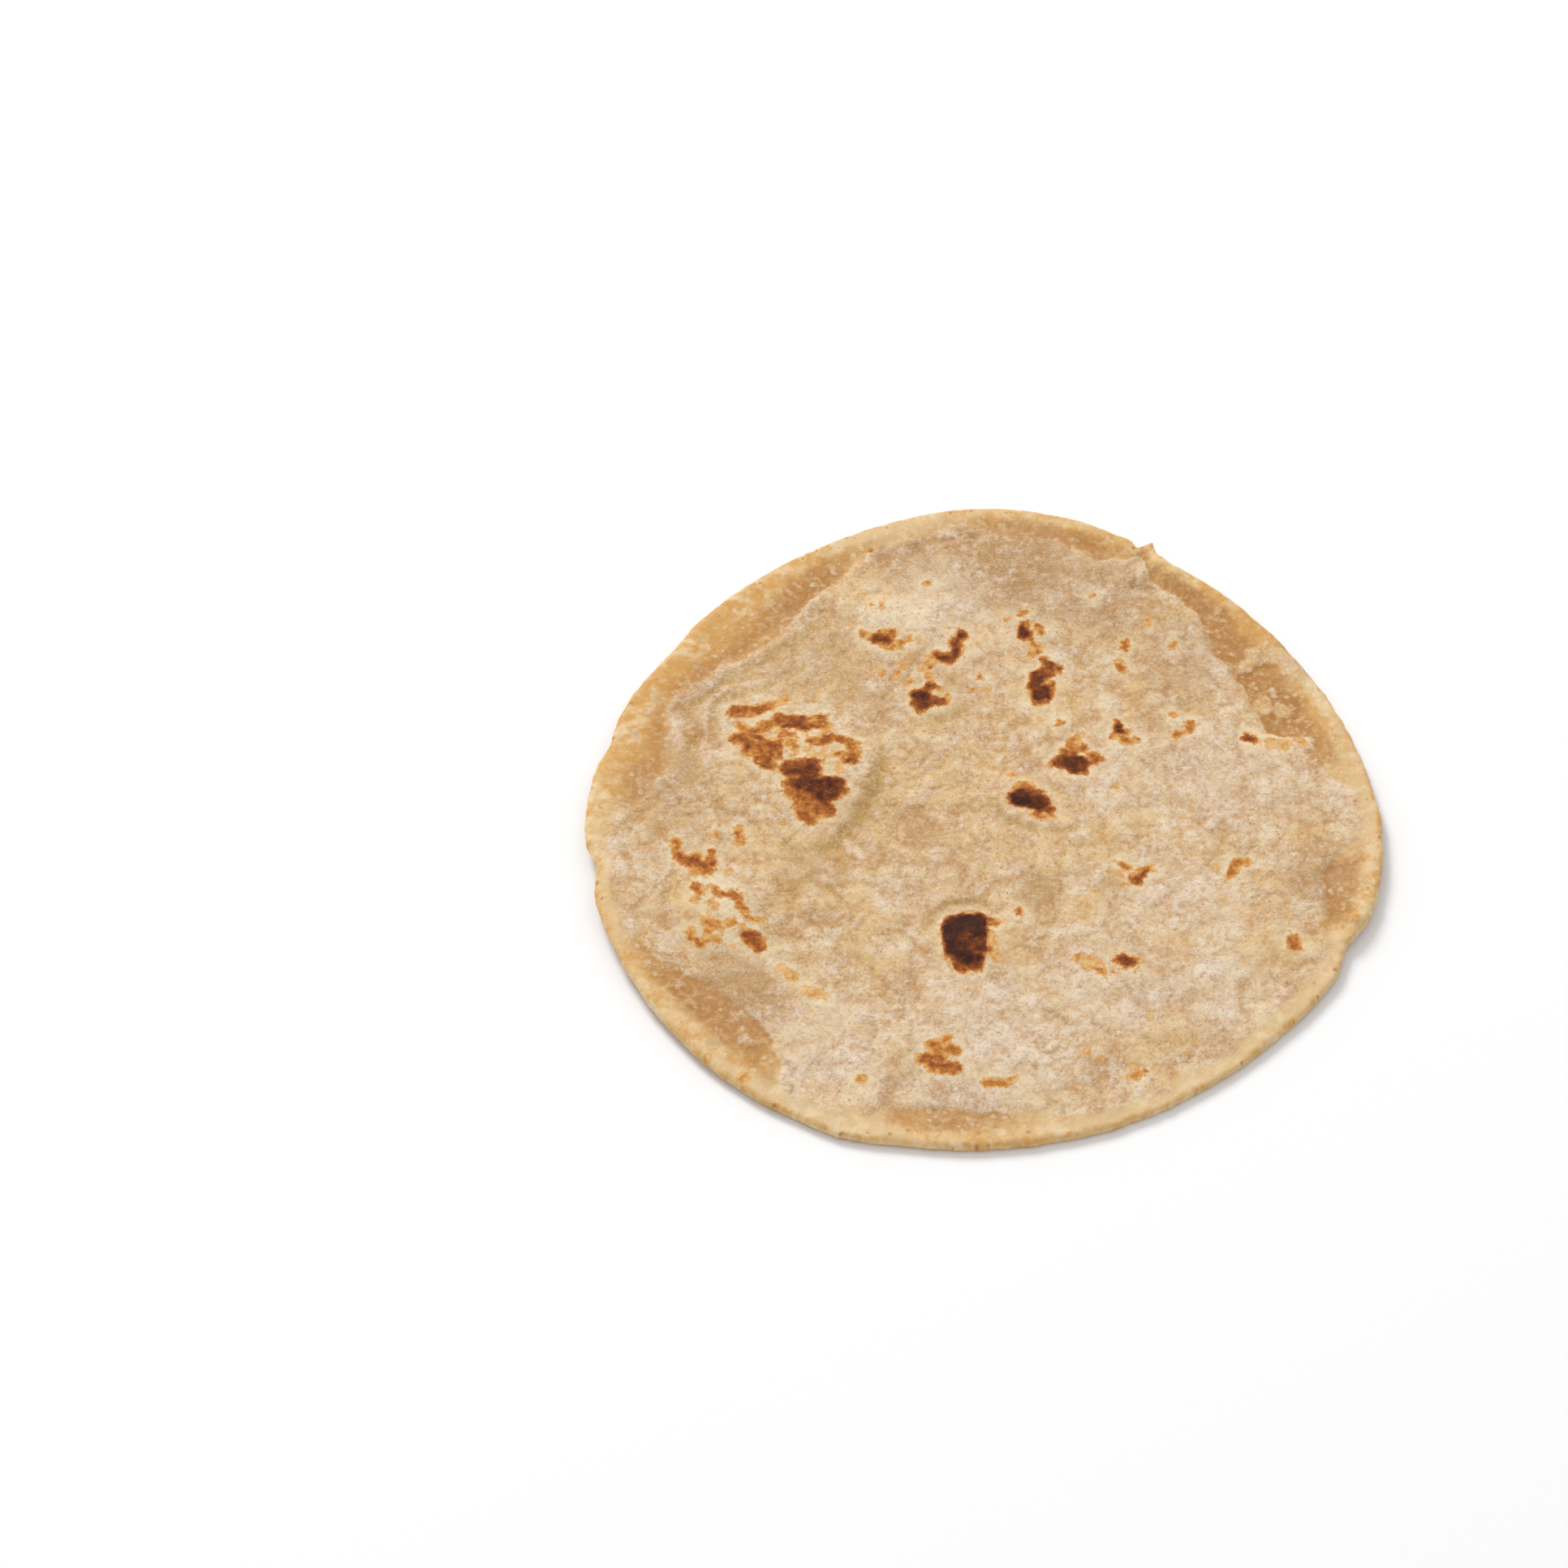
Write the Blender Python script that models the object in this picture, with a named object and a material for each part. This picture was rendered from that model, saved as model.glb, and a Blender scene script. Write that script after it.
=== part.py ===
"""A chapati: a hand-rolled whole-wheat flatbread baked on a griddle.

It is one solid disc of dough, lying on a table with its better browned face up. The rim is a thick
rounded lip with a shallow valley inside it, parts of the rim lie off the table, and air blisters
stand up from the middle. Units are metres and +Z is up. The origin is on the table, under the
middle of the bread's box.
"""

import math

import bmesh
import bpy
from mathutils import Vector, geometry

MM = 0.001

# The disc as it was rolled out
MEAN_RADIUS = 85.3 * MM
FIELD_THICKNESS = 2.1 * MM
LIP_THICKNESS = 2.7 * MM
LIP_REACH = 4.5 * MM
VALLEY_DEPTH = 0.55 * MM
VALLEY_REACH = 4.0 * MM

# The rounded edge: how far each rounding runs in from the rim, and how far it bends the surface
FOOT_REACH = 1.0 * MM
FOOT_RISE = 0.8 * MM
SHOULDER_REACH = 2.2 * MM
SHOULDER_DROP = 1.3 * MM

# Swells of the outline: waves round the rim, height of a crest in mm, direction of a crest in degrees
OUTLINE_SWELLS = ((1, 1.8, 252), (2, 2.1, 67), (3, 1.4, 98), (4, 0.9, 80), (7, 0.3, 33))

# Corners (+) and nicks (-) of the edge: direction and half width in degrees, height in mm
TORN_SPIKE = (62.0, 1.0, 2.6)
LEFT_NICK = (192.5, 2.6, -2.2)
RIGHT_NICK = (333.0, 3.6, -2.0)
EDGE_MARKS = (
    TORN_SPIKE,
    LEFT_NICK,
    RIGHT_NICK,
    (57.0, 4.0, -0.6),
    (147.0, 7.0, -0.9),
    (169.0, 4.0, -1.0),
    (250.0, 4.5, 0.9),
)

# Where the rim lies off the table: direction and half width in degrees, height in mm
RIM_LIFTS = ((185.0, 38.0, 2.6), (80.0, 30.0, 2.2), (350.0, 24.0, 1.6))
LIFT_START = 0.45  # share of the radius inside which the bread lies flat

# How far the middle of the valley is from the edge, in mm: the usual distance, and where it is wider
VALLEY_PLACE = 9.0
VALLEY_WIDER = ((142.0, 32.0, 6.0), (215.0, 25.0, 4.0), (30.0, 28.0, 2.0))

# Air blisters: centre x and y, radius and rise, in mm
BLISTERS = (
    (-43.0, 9.0, 23.0, 1.1),
    (-56.0, -27.0, 15.0, 0.8),
    (-4.0, -37.0, 9.0, 0.6),
    (10.0, 1.0, 9.0, 0.45),
    (-10.0, 31.0, 8.0, 0.4),
    (14.0, 36.0, 8.0, 0.35),
    (60.0, 4.0, 16.0, 0.5),
    (2.0, 62.0, 22.0, 0.5),
    (24.0, -40.0, 20.0, 0.4),
    (38.0, 71.0, 3.5, 0.7),
    (75.0, -34.0, 3.0, 0.6),
)

# Where the points lie: distances of the outer rings from the edge, and the step between points, which
# grows from the first step near the edge to the widest one in the middle, in mm
EDGE_RINGS = (0.0, 0.45, 1.1, 2.4)
RIM_POINTS = 150
FIRST_STEP = 3.0
STEP_GROWTH = 0.12
WIDEST_STEP = 5.2
ROW_HEIGHT = 0.87  # of the step, as in a net of equal triangles

# A mark of the edge that is narrower than this, in degrees, gets points of its own, at these half widths
NARROW_MARK = 4.0
MARK_POINTS = (-1.6, -0.8, 0.0, 0.8, 1.6)


def turn_between(direction, other):
    """The signed turn in degrees from one direction to another, between -180 and 180."""
    return (direction - other + 180.0) % 360.0 - 180.0


def bumps(direction, marks):
    """Sum of smooth bumps round the rim, each with a direction, a half width and a height."""
    return sum(
        height * math.exp(-((turn_between(direction, at) / half_width) ** 2))
        for at, half_width, height in marks
    )


def edge_radius(direction):
    """Distance from the middle to the edge in this direction, which is in degrees."""
    swell = sum(
        height * math.cos(math.radians(waves * (direction - crest)))
        for waves, height, crest in OUTLINE_SWELLS
    )
    return MEAN_RADIUS + (swell + bumps(direction, EDGE_MARKS)) * MM


def smooth_step(share):
    share = min(1.0, max(0.0, share))
    return share * share * (3.0 - 2.0 * share)


def rounding(from_edge, reach):
    """1 at the edge, falling along a quarter ellipse to 0 at reach."""
    inward = min(1.0, from_edge / reach)
    return 1.0 - math.sqrt(1.0 - (1.0 - inward) ** 2)


def lift(direction, share):
    """Height of the underside above the table at this share of the radius."""
    rise = smooth_step((share - LIFT_START) / (1.0 - LIFT_START))
    return bumps(direction, RIM_LIFTS) * MM * rise


def thickness(x, y, direction, from_edge):
    """Thickness of the bread, without the rounding of its edge."""
    lip = math.exp(-((from_edge / LIP_REACH) ** 4))
    valley_place = (VALLEY_PLACE + bumps(direction, VALLEY_WIDER)) * MM
    valley = math.exp(-(((from_edge - valley_place) / VALLEY_REACH) ** 2))
    height = FIELD_THICKNESS + (LIP_THICKNESS - FIELD_THICKNESS) * lip - VALLEY_DEPTH * valley
    for centre_x, centre_y, radius, rise in BLISTERS:
        away = math.hypot(x - centre_x * MM, y - centre_y * MM) / (radius * MM)
        height += rise * MM * smooth_step(1.25 * (1.0 - away))
    return height


def even_directions(count):
    return [360.0 * step / count for step in range(count)]


def rim_directions():
    """Even directions round the rim, with others in their place at the narrow marks of the edge."""
    narrow = [mark for mark in EDGE_MARKS if mark[1] < NARROW_MARK]
    marked = [at + half_width * share for at, half_width, _ in narrow for share in MARK_POINTS]
    gap = 180.0 / RIM_POINTS
    even = [
        direction
        for direction in even_directions(RIM_POINTS)
        if all(abs(turn_between(direction, other)) > gap for other in marked)
    ]
    return sorted(even + marked)


def ring_of_points(directions, from_edge):
    """Points (x, y) in these directions, all at this distance in mm from the edge."""
    found = []
    for direction in directions:
        radius = edge_radius(direction) - from_edge * MM
        turn = math.radians(direction)
        found.append(Vector((radius * math.cos(turn), radius * math.sin(turn))))
    return found


def points_of_disc():
    """The points that cover the flat disc, from the edge inwards."""
    found = []
    for from_edge in EDGE_RINGS:
        found += ring_of_points(rim_directions(), from_edge)
    mean_radius = MEAN_RADIUS / MM
    from_edge = EDGE_RINGS[-1]
    while True:
        step = min(WIDEST_STEP, FIRST_STEP + STEP_GROWTH * from_edge)
        from_edge += step * ROW_HEIGHT
        if from_edge > mean_radius - step:
            break
        count = round(math.tau * (mean_radius - from_edge) / step)
        found += ring_of_points(even_directions(count), from_edge)
    found.append(Vector((0.0, 0.0)))
    return found


def flat_sheet():
    """The outline filled with triangles between the points, as a flat mesh."""
    rim = list(range(len(rim_directions())))
    inside_only = 1
    weld_distance = 1e-7
    corners, _, faces, *_ = geometry.delaunay_2d_cdt(
        points_of_disc(), [], [rim], inside_only, weld_distance
    )
    sheet = bmesh.new()
    made = [sheet.verts.new((corner.x, corner.y, 0.0)) for corner in corners]
    for face in faces:
        sheet.faces.new([made[index] for index in face])
    return sheet


def shape(vert, is_top):
    """Moves a point of the flat sheet to its height on the bread's top or underside."""
    x, y = vert.co.x, vert.co.y
    radius = math.hypot(x, y)
    direction = math.degrees(math.atan2(y, x)) % 360.0
    full = edge_radius(direction)
    from_edge = max(0.0, full - radius)
    height = lift(direction, radius / full)
    if is_top:
        height += thickness(x, y, direction, from_edge)
        height -= SHOULDER_DROP * rounding(from_edge, SHOULDER_REACH)
    else:
        height += FOOT_RISE * rounding(from_edge, FOOT_REACH)
    vert.co.z = height


def middle_of_box(bread):
    low_x = min(vert.co.x for vert in bread.verts)
    high_x = max(vert.co.x for vert in bread.verts)
    low_y = min(vert.co.y for vert in bread.verts)
    high_y = max(vert.co.y for vert in bread.verts)
    return Vector(((low_x + high_x) / 2, (low_y + high_y) / 2, 0.0))


def baked_dough():
    material = bpy.data.materials.new("baked_dough")
    material.use_nodes = True
    shader = material.node_tree.nodes["Principled BSDF"]
    shader.inputs["Base Color"].default_value = (0.67, 0.46, 0.26, 1.0)
    shader.inputs["Roughness"].default_value = 0.75
    shader.inputs["Metallic"].default_value = 0.0
    return material


def make_chapati(collection):
    bread = flat_sheet()
    raised = bmesh.ops.extrude_face_region(bread, geom=bread.faces[:])
    top = {item for item in raised["geom"] if isinstance(item, bmesh.types.BMVert)}
    for vert in bread.verts:
        shape(vert, vert in top)
    bmesh.ops.recalc_face_normals(bread, faces=bread.faces[:])
    bmesh.ops.translate(bread, verts=bread.verts[:], vec=-middle_of_box(bread))
    mesh = bpy.data.meshes.new("chapati")
    bread.to_mesh(mesh)
    bread.free()
    mesh.shade_smooth()
    mesh.materials.append(baked_dough())
    chapati = bpy.data.objects.new("chapati", mesh)
    collection.objects.link(chapati)
    return chapati


def main():
    for item in list(bpy.data.objects):
        bpy.data.objects.remove(item)
    collection = bpy.data.collections.new("chapati_flatbread")
    bpy.context.scene.collection.children.link(collection)
    make_chapati(collection)


main()
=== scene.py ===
"""Looks of the chapati: its fine surface, its colours, and the studio it lies in.

The bread is one closed mesh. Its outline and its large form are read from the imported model, and the
baked skin is modelled on top: the smooth lip, the step up to the floury face, creases, blisters,
pimples, a torn nick and the spots that the griddle toasted. Lengths are in millimetres up to the
moment a mesh is made. Directions are in degrees, counter-clockwise from +X.
"""

import math

import bpy
import numpy as np
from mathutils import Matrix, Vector, noise
from mathutils.bvhtree import BVHTree


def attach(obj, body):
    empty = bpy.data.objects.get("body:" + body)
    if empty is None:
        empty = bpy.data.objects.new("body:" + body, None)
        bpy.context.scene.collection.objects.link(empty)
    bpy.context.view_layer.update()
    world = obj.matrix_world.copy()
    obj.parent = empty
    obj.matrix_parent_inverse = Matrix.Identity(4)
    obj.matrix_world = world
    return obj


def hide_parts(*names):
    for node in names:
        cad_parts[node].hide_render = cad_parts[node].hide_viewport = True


MM = 0.001

# ---------------------------------------------------------------- the mesh

TOP_RINGS = 136  # rings of quads between the edge and the middle of the upper face
LIP_RINGS = 6  # how many of them round the shoulder of the rim
FOOT_RINGS = 4  # rings that round the rim under the edge
SHOULDER_REACH = 1.7
FOOT_REACH = 0.9
UNDERSIDE_SHARE = 2  # the underside's quads are this many times as wide as the upper face's
CLEAR_OF_WALL = 0.2  # how much further in than the shoulder the solid's upper face is read
FOOT_TO_UNDERSIDE = 1.2  # width of the ring of quads that joins the foot to the underside
EDGE_LEVEL = 0.42  # height of the outermost line of the rim, as a share of its thickness
TOP_EVENING, UNDERSIDE_EVENING = 24, 8  # how often the facets of the solid are evened out of each face

# ---------------------------------------------------------------- the baked skin

# The smooth band of the rim: direction, width in mm, and how deep and golden its inner side is (0 to 1)
RIM_BAND = (
    (0, 7.0, 0.15),
    (8, 10.0, 0.5),
    (14, 11.5, 0.85),
    (18, 17.0, 1.0),
    (27, 15.5, 1.0),
    (34, 14.5, 0.9),
    (41, 13.5, 0.9),
    (45, 10.5, 1.0),
    (51, 8.6, 1.0),
    (55, 7.8, 0.9),
    (59, 7.6, 0.75),
    (62, 5.4, 0.6),
    (65, 6.0, 0.6),
    (68, 9.4, 0.8),
    (76, 8.8, 0.8),
    (84, 8.2, 0.7),
    (91, 6.4, 0.45),
    (97, 9.0, 0.45),
    (105, 7.6, 0.35),
    (114, 10.0, 0.8),
    (120, 13.5, 1.0),
    (131, 16.0, 0.7),
    (138, 15.4, 0.65),
    (145, 11.5, 0.7),
    (152, 8.6, 0.75),
    (158, 8.6, 0.65),
    (164, 11.8, 0.7),
    (173, 14.6, 0.75),
    (178, 13.0, 0.75),
    (184, 6.5, 0.4),
    (192, 4.6, 0.3),
    (204, 5.2, 0.35),
    (212, 7.5, 0.7),
    (219, 12.5, 0.95),
    (230, 16.0, 0.85),
    (236, 11.0, 0.6),
    (241, 7.5, 0.15),
    (252, 8.0, 0.3),
    (262, 9.5, 0.8),
    (269, 9.0, 0.55),
    (285, 7.4, 0.2),
    (300, 8.6, 0.15),
    (318, 6.6, 0.3),
    (332, 6.0, 0.3),
    (338, 9.0, 0.85),
    (346, 12.5, 0.9),
    (353, 8.0, 0.4),
)
SKIN_STEP = 0.34  # how far the floury face stands above the band's inner side
SHARP_STEP, SOFT_STEP = 2.6, 6.0  # width of that step, where the band is golden and where it is pale
GENTLE_STEP = 3.0  # how much wider it is where the band slopes gently

# Stretches of the rim: direction, half width in degrees, strength
GENTLE_SLOPE = ((155, 28, 1.0),)  # the band slopes softly up to the face
RAGGED_BORDER = ((225, 14, 1.6),)
DUSTY_LIP = ((26, 12, 1.0), (110, 10, 0.5), (241, 11, 1.0))
AMBER_LIP = ((147, 22, 1.0), (42, 7, 1.0))
ROLLED_FOLDS = ((148, 30, 1.0),)  # the pin left low waves inside the band
FOLD_SPACING = 6.0

# Where the face is thick with flour: x, y, radius in mm, strength
FLOURED = (
    (-8, 59, 18, 0.9),
    (22, 58, 12, 0.35),
    (36, 69, 7, 0.4),
    (52, 36, 10, 0.4),
    (32, 8, 18, 0.6),
    (55, 8, 22, 0.8),
    (42, -26, 22, 0.6),
    (-17, -24, 11, 0.4),
    (24, -50, 20, 0.8),
    (48, -50, 18, 0.8),
    (0, -64, 26, 1.0),
    (-33, -64, 20, 0.9),
)
# Where less flour stuck and the dough looks yellower
BARE = (
    (-10, 6, 26, 0.6),
    (-38, 41, 18, 1.2),
    (-56, 33, 13, 1.2),
    (10, -12, 14, 0.6),
    (-34, -16, 16, 0.8),
    (-36, -52, 14, 0.8),
    (-58, 12, 14, 0.8),
    (-26, -40, 12, 0.4),
    (38, 30, 12, 0.3),
    (66, -22, 9, 0.4),
    (66, 38, 12, 1.0),
    (-62, -38, 14, 0.6),
    (-66, 4, 12, 0.5),
)
# Where the face is darker, in soft patches
DARKER = (
    (8, 71, 22, 1.3),
    (27, 60, 16, 1.1),
    (-14, 72, 13, 1.0),
    (-40, 46, 20, 0.65),
    (-20, 36, 16, 0.6),
    (-60, 32, 14, 0.65),
    (-70, 8, 16, 0.9),
    (-66, -10, 10, 0.6),
    (-52, -50, 15, 0.9),
    (45, 45, 16, 0.7),
    (20, 47, 12, 0.5),
    (71, -20, 11, 1.0),
    (-37, -18, 10, 0.6),
    (11, -23, 8, 0.9),
    (28, -22, 7, 0.6),
    (33, -49, 7, 0.6),
    (-6, 38, 12, 0.6),
    (-24, 2, 9, 0.4),
    (-7, -79, 12, 0.9),
)

# Islands of crumb in the golden band: x, y, radius in mm
ISLANDS = (
    (66.5, 44.5, 3.6),
    (62.0, 43.6, 3.0),
    (70.5, 39.5, 3.4),
    (59.5, 40.5, 2.4),
    (64.8, 33.6, 0.8),
    (66.6, 27.6, 2.2),
    (62.6, 28.6, 2.6),
    (63.0, 18.0, 2.4),
    (67.0, 17.6, 2.4),
    (70.5, 17.8, 2.0),
    (54.9, 56.6, 1.3),
    (-75.5, 20.5, 1.6),
    (-71.5, 26.5, 1.4),
    (-74.0, 9.5, 1.2),
    (-72.5, 5.0, 2.0),
    (-57.0, -62.5, 1.8),
    (-50.5, -61.5, 1.6),
    (-64.5, -48.5, 1.2),
    (-61.5, -52.5, 0.9),
    (-52.0, -55.5, 1.1),
)
ISLAND_STEP = 1.6  # mm over which the border of an island fades
ISLAND_COVER = 0.7

# Places that steam kept pale, as strokes without any toasting: strength, half width in mm, path
STEAMED = (
    (1.0, 2.2, (-44.0, -42.8), (-39.5, -47.0), (-34.5, -51.2)),
    (1.0, 2.4, (61.5, 18.2), (71.0, 17.6)),
    (1.0, 6.0, (-57.5, -25.0), (-54.0, -33.0)),
    (0.8, 3.0, (-22.5, 57.5), (-12.0, 56.0)),
)

# Toasted spots, as strokes of a brush: how dark (0 to 1), half width in mm, then the points of its path
BIG_SCORCH = (
    (0.5, 1.4, (-53.5, 26.3), (-50.5, 26.1)),
    (0.52, 1.3, (-50.5, 26.4), (-46, 27.9)),
    (0.28, 0.8, (-46, 28.2), (-42.8, 29.8)),
    (0.52, 1.6, (-46.5, 22), (-42, 24)),
    (0.6, 2.2, (-43, 23.4), (-38.5, 23.4)),
    (0.7, 1.5, (-39.6, 24.2), (-38, 21.6)),
    (0.48, 1.4, (-38, 23.4), (-35.5, 22.6), (-34.5, 24.6)),
    (0.4, 1.0, (-47, 21.5), (-50.5, 19.5)),
    (0.52, 1.5, (-52.5, 18.4), (-50, 17), (-50, 13.5)),
    (0.45, 1.4, (-50.5, 19.8), (-49.5, 17)),
    (0.5, 1.5, (-48.6, 18), (-48, 12.5)),
    (0.4, 1.0, (-48, 17.5), (-44.5, 17)),
    (0.57, 1.5, (-44, 16.4), (-44, 13)),
    (0.5, 1.9, (-46.3, 15), (-46, 11)),
    (0.72, 1.1, (-46, 11.8), (-45.5, 10.4)),
    (0.22, 1.0, (-52, 22), (-51, 21.5)),
    (0.36, 0.45, (-44, 19.6), (-41, 16.4)),
    (0.42, 0.75, (-42.5, 20.5), (-40.8, 18.8), (-40.3, 15.5)),
    (0.42, 0.9, (-37, 17.5), (-33.5, 18)),
    (0.6, 1.1, (-34.5, 17.4), (-32, 19.2)),
    (0.38, 0.8, (-33.4, 19.2), (-33.3, 22.6), (-35, 22)),
    (0.48, 1.1, (-31, 18.8), (-28.5, 18.2), (-27, 15.5), (-27.6, 12.7)),
    (0.66, 1.0, (-28.6, 12.5), (-27.4, 12.6)),
    (0.42, 0.55, (-31.5, 14), (-29.5, 14)),
    (0.25, 0.5, (-34.5, 13.5)),
    (0.25, 0.5, (-40, 13.8)),
    (0.16, 0.6, (-37.8, 15.2), (-36, 13.6)),
    (0.16, 0.5, (-33.5, 15.2), (-33, 13.4)),
    (0.2, 0.5, (-30.5, 10.8), (-30.2, 9.2)),
    (0.66, 1.6, (-42, 9.9), (-36, 11)),
    (0.76, 2.0, (-41, 9.3), (-36.5, 9), (-38, 6)),
    (0.68, 1.2, (-35.8, 10.6), (-35.5, 8.3)),
    (0.68, 1.6, (-41, 5.3), (-38, 4.2)),
    (0.86, 2.4, (-38, 5.8), (-34, 2.6)),
    (0.86, 2.1, (-34, 5.3), (-31.2, 5.2)),
    (0.84, 2.2, (-34, 3), (-32.6, 2.8)),
    (0.58, 1.3, (-31, 5.5), (-29.9, 3.9)),
    (0.5, 1.9, (-40.5, 3), (-37, 1)),
    (0.5, 2.1, (-38, 0), (-35, -1)),
    (0.64, 1.5, (-34, 0.4), (-33, -1.4)),
    (0.44, 1.7, (-38.3, -2.4), (-36.6, -3.4)),
    (0.42, 1.2, (-39.2, 2), (-38.7, -3)),
    (0.28, 0.7, (-42.8, -4.6)),
)
SPECKLED_SCORCH = (
    (0.42, 1.0, (-65.2, -11.2), (-65.2, -14.5)),
    (0.52, 1.2, (-65, -14.5), (-62.5, -16.8)),
    (0.56, 1.8, (-62.5, -16.5), (-58.7, -16.6)),
    (0.6, 1.5, (-60.5, -15.6), (-59, -18.8)),
    (0.38, 0.8, (-57.9, -13.3), (-57.8, -16.5)),
    (0.26, 1.0, (-62, -18.8), (-59, -19.8)),
    (0.46, 0.95, (-52, -7), (-52.2, -8.8)),
    (0.4, 0.6, (-52, -9.8), (-51, -10.2)),
    (0.15, 0.9, (-57.2, -8.2)),
    (0.42, 0.85, (-61, -23.5), (-60.3, -25)),
    (0.16, 0.6, (-53.8, -18.5)),
    (0.44, 0.7, (-57.3, -24), (-56.6, -25.2)),
    (0.46, 0.6, (-56.5, -25.3), (-54, -25.8)),
    (0.5, 1.0, (-53.8, -25.2), (-52, -25.5)),
    (0.46, 0.75, (-52.8, -26), (-51.5, -28.5), (-50.3, -31)),
    (0.26, 0.65, (-50.3, -31.3), (-46.5, -31.6)),
    (0.25, 0.7, (-57.9, -27.3)),
    (0.22, 0.5, (-56.5, -28.5)),
    (0.24, 0.8, (-61, -26.8)),
    (0.35, 0.55, (-57.7, -30.2)),
    (0.4, 0.8, (-53.6, -32.6)),
    (0.25, 0.65, (-51, -33.8)),
    (0.4, 0.75, (-62, -35), (-61, -37.3), (-59.5, -38.2)),
    (0.3, 1.0, (-58.5, -33), (-56, -33.7)),
    (0.34, 0.7, (-58.5, -37), (-56, -37)),
    (0.3, 0.5, (-58.3, -35), (-58, -36)),
    (0.22, 0.4, (-52.9, -38.4)),
    (0.56, 1.9, (-49.3, -35.8), (-48.2, -37.6)),
)
DARK_BURN = (
    (0.96, 2.2, (-7, -31.6), (-2, -31.2)),
    (0.94, 2.2, (-7.4, -33), (-7.3, -39)),
    (1.0, 3.0, (-5, -33), (-4, -34)),
    (0.94, 2.0, (-2, -32), (-1.8, -38)),
    (0.72, 2.4, (-5.2, -37), (-3, -37.5)),
    (1.0, 2.4, (-6.5, -38.6), (-4, -41.2)),
    (1.0, 1.9, (-4, -40.6), (-2.8, -41)),
    (0.7, 1.5, (-7.5, -40.5), (-6, -43)),
    (0.55, 1.2, (-5.5, -43.6)),
    (0.75, 1.2, (-3.5, -43), (-2.6, -43)),
    (0.5, 0.75, (0, -30.5), (1.6, -31.3)),
    (0.4, 0.7, (-0.5, -38), (0.6, -38.5)),
    (0.14, 0.8, (0.6, -35), (1.5, -41)),
)
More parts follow.
